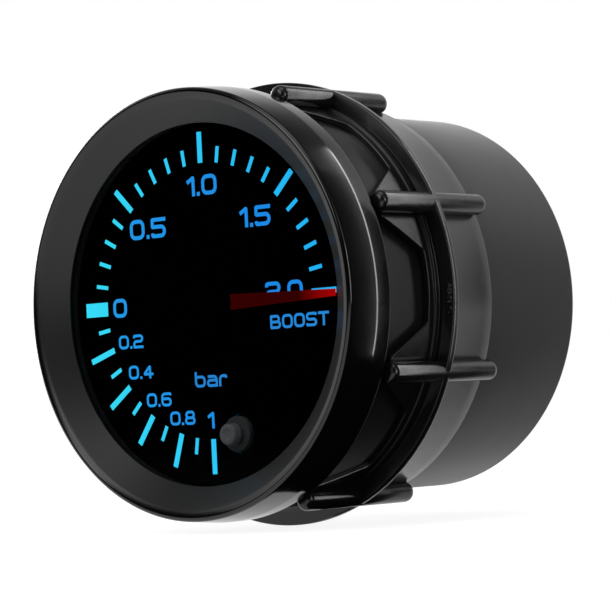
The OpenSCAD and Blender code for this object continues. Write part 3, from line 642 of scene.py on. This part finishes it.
@dataclass
class Bezel:
    """The round front rim that holds the lens."""

    outer_r: float = cad_side("bezel", Side.RIGHT)
    front: float = cad_side("bezel", Side.FRONT)
    opening_r: float = 23.85
    opening_front: float = -4.8
    ridge_r: float = 26.95
    ridge_front: float = -7.45
    ridge_round: float = 1.6
    taper: float = 0.42
    shoulder_round: float = 1.3
    belt: float = -2.85
    belt_round: float = 5.4
    wall: float = 0.95
    rear_round: float = 0.4
    edge_round: float = 0.08
    lens_seat: float = -4.55
    rolled_r: float = 26.5
    rolled_lip: float = 0.5
    chamfer: float = 0.85
    arc_steps: int = 14

    def profile(self) -> list[Flat]:
        """Returns the rim's section: a slope from the lens, a narrow face and a side that bends once."""
        inner_r = self.outer_r - self.wall
        e = self.edge_round
        return fillet([
            (self.opening_r, self.lens_seat, e / 2),
            (self.opening_r, self.opening_front, e),
            (self.ridge_r, self.ridge_front, self.ridge_round),
            (self.outer_r - self.taper, self.front, self.shoulder_round),
            (self.outer_r, self.belt, self.belt_round),
            (self.outer_r, 0.0, self.rear_round),
            (self.rolled_r, 0.0, e),
            (self.rolled_r, -self.rolled_lip, e),
            (inner_r, -self.rolled_lip, 0.0),
            (inner_r, self.lens_seat + self.chamfer, 0.0),
            (inner_r - self.chamfer, self.lens_seat, 0.0),
        ], steps=self.arc_steps)

    def build(self) -> None:
        """Makes the rim."""
        draft = Draft()
        draft.lathe(self.profile(), segments=2 * SEGMENTS)
        draft.piece("bezel_ring", Surfaces.BEZEL_ENAMEL, "case", ["bezel"], "black_anodised")


@dataclass
class Window:
    """The smoked lens and its gasket."""

    def build(self) -> None:
        """Gives both their finish."""
        dress(Surfaces.LENS_ACRYLIC, "lens")
        dress(Surfaces.SEAL_NITRILE, "lens_gasket")


@dataclass
class Lettering:
    """A plain face of even strokes with square, rounded bowls, as wide as they are high."""

    stroke_share: float = 0.19
    gap_share: float = 0.13
    round_share: float = 0.26
    crisp_share: float = 0.02
    own_share: float = 0.15
    arc_steps: int = 4

    def strokes(self, sign: str) -> tuple[float, Strokes]:
        """Returns a sign's width and strokes, in shares of the height between middle lines.

        Args:
            sign: One character.

        Returns:
            The width, and each stroke's points, of which the last repeats the first where it is closed.
            A point may carry its own share of the face's rounding.
        """
        end = self.stroke_share / 2 / (1 - self.stroke_share)
        own = self.own_share
        bowl = [(0, 0), (1, 0), (1, 1), (0, 1), (0, 0)]
        shapes: dict[str, tuple[float, Strokes]] = {
            "0": (1, [bowl]),
            "1": (0.5, [[(0, 0.72), (0.5, 1), (0.5, -end)]]),
            "2": (1, [[(0, 0.8), (0, 1), (1, 1), (1, 0.5), (0, 0.5), (0, 0, own), (1 + end, 0)]]),
            "4": (1, [[(0.72, -end), (0.72, 1, own), (0, 0.28, own), (1 + end, 0.28)]]),
            "5": (1, [[(1 + end, 1), (0, 1, own), (0, 0.56, own), (1, 0.56), (1, 0), (0, 0),
                       (0, 0.18)]]),
            "6": (1, [[(1, 0.84), (1, 1), (0, 1), (0, 0), (1, 0), (1, 0.56), (0, 0.56)]]),
            "8": (1, [[(0, 0), (1, 0), (1, 0.5), (0, 0.5), (0, 0)],
                      [(0.06, 0.5), (0.94, 0.5), (0.94, 1), (0.06, 1), (0.06, 0.5)]]),
            ".": (0, [[(0, -end), (0, end)]]),
            "b": (1, [[(0, 1.22), (0, 0), (1, 0), (1, 0.78), (0, 0.78)]]),
            "a": (1, [[(0, 0.78), (1, 0.78), (1, -end)], [(1, 0.45), (0, 0.45), (0, 0), (1, 0)]]),
            "r": (0.7, [[(0, -end), (0, 0.78), (0.7, 0.78), (0.7, 0.585)]]),
            "B": (1, [[(0, 0, own), (1, 0), (1, 0.5), (0, 0.5, own), (0, 0, own)],
                      [(0, 0.5, own), (0.9, 0.5), (0.9, 1), (0, 1, own), (0, 0.5, own)]]),
            "O": (1, [bowl]),
            "S": (1, [[(1, 0.84), (1, 1), (0, 1), (0, 0.5), (1, 0.5), (1, 0), (0, 0), (0, 0.16)]]),
            "T": (1, [[(-end, 1), (1 + end, 1)], [(0.5, 1), (0.5, -end)]]),
        }
        return shapes[sign]

    def write(self, draft: Draft, text: str, centre: Flat, height: float, depths: Flat) -> None:
        """Adds a word or number to a draft.

        Args:
            draft: The draft that takes the strokes.
            text: What to write.
            centre: The middle of the text in the front view.
            height: Height of a numeral.
            depths: Depth of the strokes' front and rear.
        """
        stroke = self.stroke_share * height
        body, gap = height - stroke, self.gap_share * height + stroke
        signs = [self.strokes(sign) for sign in text]
        left = centre[0] - (sum(width for width, _ in signs) * body + gap * (len(text) - 1)) / 2
        foot = centre[1] - body / 2
        for sign, (width, strokes) in zip(text, signs):
            bend = height * (self.crisp_share if sign in "1." else self.round_share)
            for points in strokes:
                closed = points[0] == points[-1]
                line = fillet([(left + x * body, foot + z * body, bend * (own[0] if own else 1.0))
                               for x, z, *own in points[:len(points) - closed]], closed, self.arc_steps)
                draft.ribbon(line, stroke, depths, closed)
            left += width * body + gap


@dataclass
class Dial:
    """The black film with its lit scale, numerals and words."""

    front: float = cad_side("dial", Side.FRONT)
    proud: float = 0.02
    sunk: float = 0.1
    rise: float = 0.5
    mark_r: float = 18.2
    minor: Flat = (2.15, 0.5)
    boost_major: Flat = (4.1, 0.74)
    vacuum_major: Flat = (4.6, 0.74)
    zero: Flat = (4.1, 1.9)
    step_deg: float = 9.0
    boost_steps: int = 20
    boost_every: int = 5
    vacuum_steps: int = 10
    vacuum_every: int = 2
    face: Lettering = field(default_factory=Lettering)
    numerals: tuple[Word, ...] = (
        ("0", -15.9, 0.5, 2.55), ("0.5", -10.05, 10.8, 2.7), ("1.0", 0.0, 15.75, 2.7),
        ("1.5", 9.1, 10.9, 2.7), ("2.0", 13.55, 0.9, 2.6), ("0.2", -14.15, -4.15, 1.85),
        ("0.4", -12.55, -8.3, 1.85), ("0.6", -9.45, -12.15, 1.85), ("0.8", -5.3, -14.75, 1.85),
        ("1", -0.3, -15.2, 2.2),
    )
    words: tuple[Word, ...] = (("bar", 0.1, -9.9, 1.9), ("BOOST", 15.9, -3.0, 1.8))

    def depths(self) -> Flat:
        """Returns the depth of the lit print's front and rear."""
        return self.front - self.proud, self.front + self.sunk

    def bar(self, draft: Draft, degrees: float, size: Flat) -> None:
        """Adds a scale mark that points away from the scale's centre."""
        length, width = size
        along, across = Vector(polar(1, degrees)), Vector(polar(width / 2, degrees + 90))
        near, far = along * self.mark_r, along * (self.mark_r + length)
        lift = Vector((0.0, self.rise))
        outline = (near - across, far - across, far + across, near + across)
        draft.prism([tuple(p + lift) for p in outline], self.depths())

    def build(self) -> None:
        """Dresses the film and makes the marks, numerals and words."""
        dress(Surfaces.DIAL_FILM, "dial")
        dress(Surfaces.GUIDE_ACRYLIC, "light_guide")
        marks = Draft()
        self.bar(marks, 180, self.zero)
        for sign, steps, every, major in ((-1, self.boost_steps, self.boost_every, self.boost_major),
                                          (1, self.vacuum_steps, self.vacuum_every, self.vacuum_major)):
            for i in range(1, steps + 1):
                self.bar(marks, 180 + sign * i * self.step_deg, self.minor if i % every else major)
        marks.piece("scale_marks", Surfaces.MARKS, "case", slot="guide_acrylic")
        for name, rows, finish in (("scale_numerals", self.numerals, Surfaces.NUMERALS),
                                   ("scale_words", self.words, Surfaces.WORDS)):
            draft = Draft()
            for text, x, z, height in rows:
                self.face.write(draft, text, (x, z), height, self.depths())
            draft.piece(name, finish, "case", slot="guide_acrylic")


@dataclass
class Pointer:
    """The red needle and its black hub."""

    front: float = cad_side("needle", Side.FRONT)
    rear: float = cad_side("needle", Side.REAR)
    reach: float = 22.4
    root_x: float = 3.3
    root_width: float = 2.1
    tip_width: float = 0.9
    rest_deg: float = 0.4
    blade_round: float = 0.05
    hub_front: float = cad_side("needle_hub", Side.FRONT)
    hub_rear: float = cad_side("needle_hub", Side.REAR)
    hub_r: float = 4.7
    hub_round: float = 0.2
    hub_seam: float = 0.05

    def build(self) -> None:
        """Makes the blade and the hub's cap."""
        blade = Draft()
        turn = Matrix.Rotation(math.radians(self.rest_deg), 2)
        outline = [(self.root_x, -self.root_width / 2), (self.reach, -self.tip_width / 2),
                   (self.reach, self.tip_width / 2), (self.root_x, self.root_width / 2)]
        blade.prism([tuple(turn @ Vector(p)) for p in outline], (self.front, self.rear))
        blade.piece("needle_blade", Surfaces.NEEDLE_ACRYLIC, "needle", ["needle"], "needle_red",
                    bevel_mm=self.blade_round)
        cap = Draft()
        cap.lathe(fillet([
            (0.0, self.hub_rear, 0.0), (self.hub_r, self.hub_rear, self.hub_seam),
            (self.hub_r, self.hub_front, self.hub_round), (0.0, self.hub_front, 0.0),
        ], closed=False), segments=SEGMENTS // 2, closed=False)
        cap.piece("needle_cap", Surfaces.HUB_ABS, "needle", ["needle_hub"], "hub_black")
        dress(Surfaces.GROUND_STEEL, "pinion_arbor")
        dress(Surfaces.BRASS_SHEET, "hairspring_collet")


@dataclass
class PushButton:
    """The frosted cap in the lens and the switch behind it."""

    place: Flat = polar(17.8, 285.3)
    cap_r: float = 1.4
    front: float = cad_side("button", Side.FRONT)
    rear: float = cad_side("button", Side.REAR)
    collar_front: float = -3.775
    collar_r: float = 2.3
    collar_length: float = 1.0
    stem_r: float = 1.2
    edge: float = 0.4
    seam: float = 0.05
    collar_round: float = 0.1
    dish_depth: float = 0.12
    dish_round: float = 0.2
    dish_shares: Flat = (0.55, 0.35)

    def build(self) -> None:
        """Makes the cap, with a shallow dish in its front."""
        cap = Draft()
        collar_rear, dish_floor = self.collar_front + self.collar_length, self.front + self.dish_depth
        mouth_r, floor_r = (share * self.cap_r for share in self.dish_shares)
        cap.lathe(fillet([
            (0.0, self.rear, 0.0), (self.stem_r, self.rear, self.seam),
            (self.stem_r, collar_rear, self.seam), (self.collar_r, collar_rear, self.seam),
            (self.collar_r, self.collar_front, self.collar_round),
            (self.cap_r, self.collar_front, self.seam), (self.cap_r, self.front, self.edge),
            (mouth_r, self.front, self.dish_round), (floor_r, dish_floor, self.dish_round),
            (0.0, dish_floor, 0.0),
        ], closed=False), self.place, segments=SEGMENTS // 3, closed=False)
        cap.piece("button_cap", Surfaces.BUTTON_SILICONE, "button", ["button"], "button_abs")
        dress(Surfaces.EPOXY_BLACK, "switch_body")
        dress(Surfaces.BUTTON_SILICONE, "switch_plunger")


@dataclass
class Collar:
    """The moulded locking collar: notched wall, flange, sleeve and grip bars."""

    bore_r: float = 26.8
    wall_r: float = 27.6
    sleeve_r: float = 27.85
    sleeve_end: float = 22.6
    lip_length: float = 2.1
    lip_step: float = 0.24
    rear_bore_r: float = 26.5
    rear_lip: float = 1.4
    flange_r: float = 29.94
    flange_front: float = 11.2
    flange_rear: float = 12.4
    step_rise: float = 0.3
    step_front: float = 10.1
    step_rear: float = 10.8
    tooth_front: float = 2.4
    notch_floor: float = 9.1
    floor_deg: float = 9.7
    mouth_deg: float = 19.1
    bars: int = 8
    first_bar_deg: float = 23.7
    bar_place_r: float = 28.6
    bar_r: float = 1.4
    bar_front: float = 0.8
    bar_rear: float = 23.1
    bar_front_round: float = 0.9
    arris: float = 0.22
    crumbs: int = 34
    gate_deg: float = -1.0
    gate_spread_deg: float = 1.8
    crumb_size: Flat = (0.14, 0.38)
    crumb_inset: Flat = (0.9, 0.4)
    crumb_width: Flat = (0.7, 1.0)
    crumb_height: Flat = (0.8, 1.3)
    crumb_sides: int = 9
    crumb_rings: int = 5
    kink_clear_deg: float = 0.3
    step_lead: float = 0.4
    nose_steps: int = 6
    tail_steps: int = 9
    # One round for each of ring()'s corners: the step, the flange, the lip, the end and the bore
    rounds: tuple[float, ...] = (
        0.0, 0.08, 0.12, 0.12, 0.08, 0.1, 0.18, 0.3, 0.15, 0.06, 0.06, 0.3, 0.12, 0.05, 0.0, 0.0)

    def front_at(self, degrees: float) -> float:
        """Returns how far back the wall starts at an angle."""
        pitch = 360 / self.bars
        off = abs((degrees - self.first_bar_deg) % pitch - pitch / 2)
        share = (off - self.floor_deg) / (self.mouth_deg - self.floor_deg)
        return self.notch_floor + min(1.0, max(0.0, share)) * (self.tooth_front - self.notch_floor)

    def angles(self) -> list[float]:
        """Returns the angles of the ring's columns, with one on every kink of the notches."""
        pitch = 360 / self.bars
        kinks = [(self.first_bar_deg + (i + 0.5) * pitch + side * off) % 360 for i in range(self.bars)
                 for side in (-1, 1) for off in (self.floor_deg, self.mouth_deg)]
        even = [360 * i / (2 * SEGMENTS) for i in range(2 * SEGMENTS)]
        return sorted(kinks + [a for a in even if min(abs(a - k) for k in kinks) > self.kink_clear_deg])

    def ring(self) -> Draft:
        """Returns the wall, flange and sleeve."""
        draft = Draft()
        start, step_r = self.step_front - self.step_lead, self.wall_r + self.step_rise
        lip_r = self.sleeve_r - self.lip_step
        lip_front, bore_rear = self.sleeve_end - self.lip_length, self.sleeve_end - self.rear_lip
        corners = (
            (self.wall_r, start), (self.wall_r, self.step_front), (step_r, self.step_front),
            (step_r, self.step_rear), (self.wall_r, self.step_rear), (self.wall_r, self.flange_front),
            (self.flange_r, self.flange_front), (self.flange_r, self.flange_rear),
            (self.sleeve_r, self.flange_rear), (self.sleeve_r, lip_front),
            (lip_r, lip_front + self.lip_step), (lip_r, self.sleeve_end),
            (self.rear_bore_r, self.sleeve_end), (self.rear_bore_r, bore_rear), (self.bore_r, bore_rear),
            (self.bore_r, start))
        rest = fillet([(r, y, own) for (r, y), own in zip(corners, self.rounds, strict=True)],
                      closed=False, steps=ROUND_STEPS)
        rows = []
        for a in self.angles():
            c, s = polar(1.0, a)
            y = self.front_at(a)
            profile = [(self.bore_r, y), (self.wall_r, y), *rest]
            rows.append([(r * c, depth, r * s) for r, depth in profile])
        draft.grid(rows, wrap_rows=True, wrap_columns=True)
        return draft

    def bar(self, draft: Draft, degrees: float) -> None:
        """Adds one grip bar."""
        r, nose = self.bar_r, self.bar_front_round
        draft.lathe([
            (0.0, self.bar_front),
            *[(r - nose + nose * s, self.bar_front + nose * (1 - c))
              for c, s in quarter(self.nose_steps)],
            *[(r * c, self.bar_rear - r + r * s) for c, s in quarter(self.tail_steps)],
        ], polar(self.bar_place_r, degrees), segments=SEGMENTS // 4, closed=False)

    def flash(self) -> Draft:
        """Returns the torn gate's rough crumbs on the flange's front corner."""
        draft = Draft()
        for _ in range(self.crumbs):
            degrees = random.gauss(self.gate_deg, self.gate_spread_deg)
            size = random.uniform(*self.crumb_size)
            reach = random.uniform(*(self.flange_r - inset for inset in self.crumb_inset))
            draft.lathe([(size * random.uniform(*self.crumb_width) * c,
                          self.flange_front - size * random.uniform(*self.crumb_height) * s)
                         for c, s in quarter(self.crumb_rings)],
                        polar(reach, degrees), segments=self.crumb_sides, closed=False)
        return draft

    def build(self) -> None:
        """Makes the ring, its gate mark and its bars."""
        self.flash().piece("collar_gate_mark", Surfaces.COLLAR_NYLON, "collar", slot="collar_nylon")
        self.ring().piece("collar_ring", Surfaces.COLLAR_NYLON, "collar", ["locking_collar"],
                          "collar_nylon", bevel_mm=self.arris)
        bars = Draft()
        for i in range(self.bars):
            self.bar(bars, self.first_bar_deg + i * 360 / self.bars)
        bars.piece("collar_bars", Surfaces.COLLAR_NYLON, "collar", slot="collar_nylon")


@dataclass
class Can:
    """The cup behind the bezel, its cover and the cover's screws."""

    outer_r: float = 26.2
    wall: float = 1.8
    front: float = -0.6
    rear: float = cad_side("can", Side.REAR)
    edge: float = 0.8
    inner_edge: float = 0.25
    arc_steps: int = 8
    cover_front: float = cad_side("rear_cover", Side.FRONT)

    def build(self) -> None:
        """Makes the barrel's visible skin, and dresses the cover."""
        barrel = Draft()
        inner_r = self.outer_r - self.wall
        barrel.lathe(fillet([
            (inner_r, self.front, 0.0), (self.outer_r, self.front, 0.0),
            (self.outer_r, self.rear, self.edge), (inner_r, self.rear, self.inner_edge),
            (inner_r, self.cover_front, 0.0),
        ], steps=self.arc_steps), segments=2 * SEGMENTS)
        barrel.piece("can_barrel", Surfaces.CAN_ABS, "case", ["can"], "can_abs")
        dress(Surfaces.COVER_ABS, "rear_cover")
        dress(Surfaces.ZINC_STEEL, "cover_screws")


@dataclass
class RearFittings:
    """The pressure port with its nut and nipple, and the wires' grommet."""

    def build(self) -> None:
        """Dresses the fittings."""
        dress(Surfaces.BRASS, "hose_nipple", "port_nut", "pressure_socket")
        dress(Surfaces.ZINC_STEEL, "port_washer")
        dress(Surfaces.SEAL_NITRILE, "wire_grommet")


@dataclass
class Insides:
    """The movement and the boards, which the case hides."""

    def build(self) -> None:
        """Dresses every inner node."""
        dress(Surfaces.BRASS_SHEET, "front_plate", "rear_plate", "pillars", "sector_gear", "link",
              "hairspring_stud", "tube_tip", "dial_posts", "control_posts")
        dress(Surfaces.PHOSPHOR_BRONZE, "bourdon_tube", "hairspring")
        dress(Surfaces.GROUND_STEEL, "sector_arbor", "tail_pin", "tip_pin", "plate_screws")
        dress(Surfaces.BOARD, "led_board", "control_board")
        dress(Surfaces.EPOXY_CLEAR, "leds")
        dress(Surfaces.EPOXY_BLACK, "control_parts")
        dress(Surfaces.RIBBON_PVC, "board_cable")


# The studio


@dataclass
class Studio:
    """White floor and surround, soft lamps, dark cards and the camera."""

    floor_z: float = -30.0
    floor_size_m: float = 12.0
    floor_paper: str = "#959595"
    floor_glow: float = 0.90
    white: str = "#ffffff"
    felt: str = "#0d0d0d"
    cards: tuple[Card, ...] = (
        ("front_card", -54, 62, 0.9, (0.9, 0.8), True),
        ("right_card", 92, 152, 0.9, (0.9, 1.10), True),
        # The floor card is seen only in gloss: painted shade in the mirrored floor round the gauge's
        # foot, and a dark surround further out
        ("right_floor_shade_card", 60, 146, 0.012, (0.9, -0.029), False),
    )
    card_lift: float = 0.5
    arc_steps: int = 24
    hoop_y_m: float = 0.49
    hoop_radii_m: Flat = (0.465, 0.545)
    hoop_ends_deg: Flat = (-3, 80)
    hoop_steps: int = 32
    floor_gleam_m: tuple[tuple[Point, Point], ...] = (
        ((0.0624, 0.0403, -0.0285), (0.0660, 0.0372, -0.0285)),
        ((0.463, 0.480, -0.0285), (0.500, 0.445, -0.0285)),
    )
    gleam_strength: float = 8.5
    lamps: tuple[Lamp, ...] = (
        ("overhead", 20, 72, 0.7, (0.5, 0.5), 1.2),
        ("near_strip", 76, 8, 0.6, (0.03, 0.30), 0.5),
        ("limb_glow", -116, 6, 0.8, (0.30, 0.45), 3.0),
        ("slope_glow", -104, 50, 0.8, (0.5, 0.5), 0.2),
        ("front_fill", -10, 30, 0.8, (0.5, 0.4), 2.0),
    )
    ambient: float = 0.42
    wall_top: float = 0.45
    ceiling_start: float = 0.8
    ceiling_level: float = 0.1
    aim_m: Point = (0.0, 0.015, 0.0)
    camera_place_m: Point = (0.24881, -0.27438, -0.01511)
    camera_columns: tuple[Point, ...] = (
        (0.758196, 0.650111, -0.050033), (0.063200, 0.003099, 0.998004),
        (0.648962, -0.759839, -0.038737),
    )
    lens_mm: float = 164.7
    sensor_mm: float = 36.0
    clip_m: Flat = (0.01, 50.0)

    def seen_directly(self, tree: Tree) -> Socket:
        """Returns 1 for rays of the camera, of gloss and of transmission, and 0 for the rest."""
        path = add_node(tree, "ShaderNodeLightPath")
        first = add_node(tree, "ShaderNodeMath", {
            0: path.outputs["Is Camera Ray"], 1: path.outputs["Is Glossy Ray"]}, operation="MAXIMUM")
        both = add_node(tree, "ShaderNodeMath", {
            0: first, 1: path.outputs["Is Transmission Ray"]}, operation="MAXIMUM")
        return both.outputs[0]

    def world(self) -> None:
        """Lights the room evenly and shows it white."""
        world = bpy.data.worlds.new("room")
        bpy.context.scene.world = world
        tree = cleared(world)
        path = add_node(tree, "ShaderNodeLightPath")
        split = add_node(tree, "ShaderNodeSeparateXYZ", {
            "Vector": add_node(tree, "ShaderNodeTexCoord").outputs["Generated"]})
        ceiling = add_node(tree, "ShaderNodeMapRange", {
            "Value": split.outputs["Z"], "From Min": self.wall_top, "From Max": self.ceiling_start,
            "To Min": 1.0, "To Max": self.ceiling_level}, interpolation_type="SMOOTHSTEP")
        mirrored = add_node(tree, "ShaderNodeMath", {
            0: path.outputs["Is Glossy Ray"], 1: path.outputs["Is Camera Ray"]}, operation="SUBTRACT")
        shown = add_node(tree, "ShaderNodeMix", {
            "Factor": mirrored, 2: 1.0, 3: ceiling}, data_type="FLOAT")
        level = add_node(tree, "ShaderNodeMix", {
            "Factor": self.seen_directly(tree), 2: self.ambient, 3: shown}, data_type="FLOAT")
        background = add_node(tree, "ShaderNodeBackground", {
            "Color": linear(self.white), "Strength": level})
        add_node(tree, "ShaderNodeOutputWorld", {"Surface": background})

    def plain(self, name: str, kind: str, inputs: dict) -> bpy.types.Material:
        """Returns a stage material of one shader, made at its first use."""
        made = bpy.data.materials.get(name)
        if made is None:
            made = bpy.data.materials.new(name)
            tree = cleared(made)
            shader = add_node(tree, kind, inputs)
            add_node(tree, "ShaderNodeOutputMaterial", {"Surface": shader})
        return made

    def sheet(self, name: str, rows: Rows, material: bpy.types.Material) -> bpy.types.Object:
        """Makes a stage sheet from rows of points in metres."""
        draft = Draft()
        draft.grid(rows)
        mesh = bpy.data.meshes.new(name)
        mesh.from_pydata(draft.points, [], draft.faces)
        mesh.materials.append(material)
        made = new_object(name, mesh)
        made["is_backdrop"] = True
        return made

    def floor(self) -> None:
        """Makes the white floor, which keeps the gauge's shadow and can't be seen from below."""
        paper = bpy.data.materials.new("white_paper_floor")
        tree = cleared(paper)
        matt = add_node(tree, "ShaderNodeBsdfDiffuse", {"Color": linear(self.floor_paper)})
        level = add_node(tree, "ShaderNodeMath", {0: self.seen_directly(tree), 1: self.floor_glow},
                         operation="MULTIPLY")
        glow = add_node(tree, "ShaderNodeEmission", {"Color": linear(self.white), "Strength": level})
        lit = add_node(tree, "ShaderNodeAddShader", {0: matt, 1: glow})
        clear = add_node(tree, "ShaderNodeBsdfTransparent")
        below = add_node(tree, "ShaderNodeNewGeometry").outputs["Backfacing"]
        both = add_node(tree, "ShaderNodeMixShader", {0: below, 1: lit, 2: clear})
        add_node(tree, "ShaderNodeOutputMaterial", {"Surface": both})
        half, z = self.floor_size_m / 2, self.floor_z * MM
        self.sheet("floor", [[(x, y, z) for x in (-half, half)] for y in (-half, half)], paper)

    def card(self, name: str, first_deg: float, last_deg: float, foot_m: float, top_m: Flat,
             shades: bool) -> None:
        """Sets up a dark curved card, which black gloss mirrors.

        Args:
            name: The card's name.
            first_deg: Where it starts, 0 in front of the dial and 90 on the right.
            last_deg: Where it ends.
            foot_m: How far its foot is from the gauge.
            top_m: How far its top is from the gauge, and the top's height.
            shades: Whether it also keeps light away.
        """
        edges = ((foot_m, (self.floor_z + self.card_lift) * MM), top_m)
        rows = [[(reach * math.sin(az), -reach * math.cos(az), z) for reach, z in edges]
                for az in map(math.radians, sweep(first_deg, last_deg, self.arc_steps))]
        card = self.sheet(name, rows, self.plain(
            "black_felt_card", "ShaderNodeBsdfDiffuse", {"Color": linear(self.felt)}))
        card.visible_camera = False
        card.visible_diffuse = card.visible_shadow = shades

    def gleam(self, name: str, rows: Rows) -> None:
        """Hangs a bright sheet that only gloss shows, as a thin line along the rim."""
        made = self.sheet(name, rows, self.plain("lamp_tube", "ShaderNodeEmission", {
            "Color": linear(self.white), "Strength": self.gleam_strength}))
        made.visible_camera = made.visible_diffuse = made.visible_shadow = False

    def hoop(self) -> Rows:
        """Returns the rows of an arc round the gauge's axis, behind the gauge."""
        return [[(x, self.hoop_y_m, z) for x, z in (polar(r, degrees) for r in self.hoop_radii_m)]
                for degrees in sweep(*self.hoop_ends_deg, self.hoop_steps)]

    def lamp(self, name: str, azimuth: float, elevation: float, distance_m: float, size_m: Flat,
             power_w: float) -> None:
        """Places a soft lamp that faces the gauge.

        Args:
            name: The lamp's name.
            azimuth: Where it stands, 0 in front of the dial and 90 on the right.
            elevation: How far above the gauge, in degrees.
            distance_m: How far from the gauge.
            size_m: Width and height of its face.
            power_w: Its power.
        """
        a, e = math.radians(azimuth), math.radians(elevation)
        back = Vector((math.sin(a) * math.cos(e), -math.cos(a) * math.cos(e), math.sin(e)))
        data = bpy.data.lights.new(name, "AREA")
        data.shape = "RECTANGLE"
        data.size, data.size_y = size_m
        data.energy = power_w
        lamp = new_object(name, data)
        lamp.location = back * distance_m + Vector(self.aim_m)
        lamp.rotation_mode = "QUATERNION"
        lamp.rotation_quaternion = back.to_track_quat("Z", "Y")
        lamp.visible_camera = False

    def camera(self) -> None:
        """Sets the camera that the photograph's perspective gives."""
        data = bpy.data.cameras.new("photo_camera")
        data.sensor_width, data.lens = self.sensor_mm, self.lens_mm
        data.clip_start, data.clip_end = self.clip_m
        camera = new_object("photo_camera", data)
        turn = Matrix(self.camera_columns).transposed()
        camera.matrix_world = Matrix.Translation(self.camera_place_m) @ turn.to_4x4()
        bpy.context.scene.camera = camera

    def build(self) -> None:
        """Sets up the room, the lamps and the camera."""
        bpy.context.scene.view_settings.view_transform = "Standard"
        self.world()
        self.floor()
        for card in self.cards:
            self.card(*card)
        self.gleam("far_hoop", self.hoop())
        self.gleam("floor_gleam", self.floor_gleam_m)
        for lamp in self.lamps:
            self.lamp(*lamp)
        self.camera()


def write_sizes() -> None:
    """Works out the CAD model's box and the visual model's box, and keeps neither."""
    boxes = {"cad": CAD_BOX, "visual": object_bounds()}
    {name: [list(corner) for corner in box] for name, box in boxes.items()}


def main() -> None:
    """Builds the studio and the gauge."""
    logging.basicConfig(level=logging.INFO, format="%(message)s")
    random.seed(SEED)
    for part in (Studio(), Bezel(), Window(), Dial(), Pointer(), PushButton(), Collar(), Can(),
                 RearFittings(), Insides()):
        LOG.info("building %s", type(part).__name__)
        part.build()
    write_sizes()


if __name__ == "__main__":
    main()
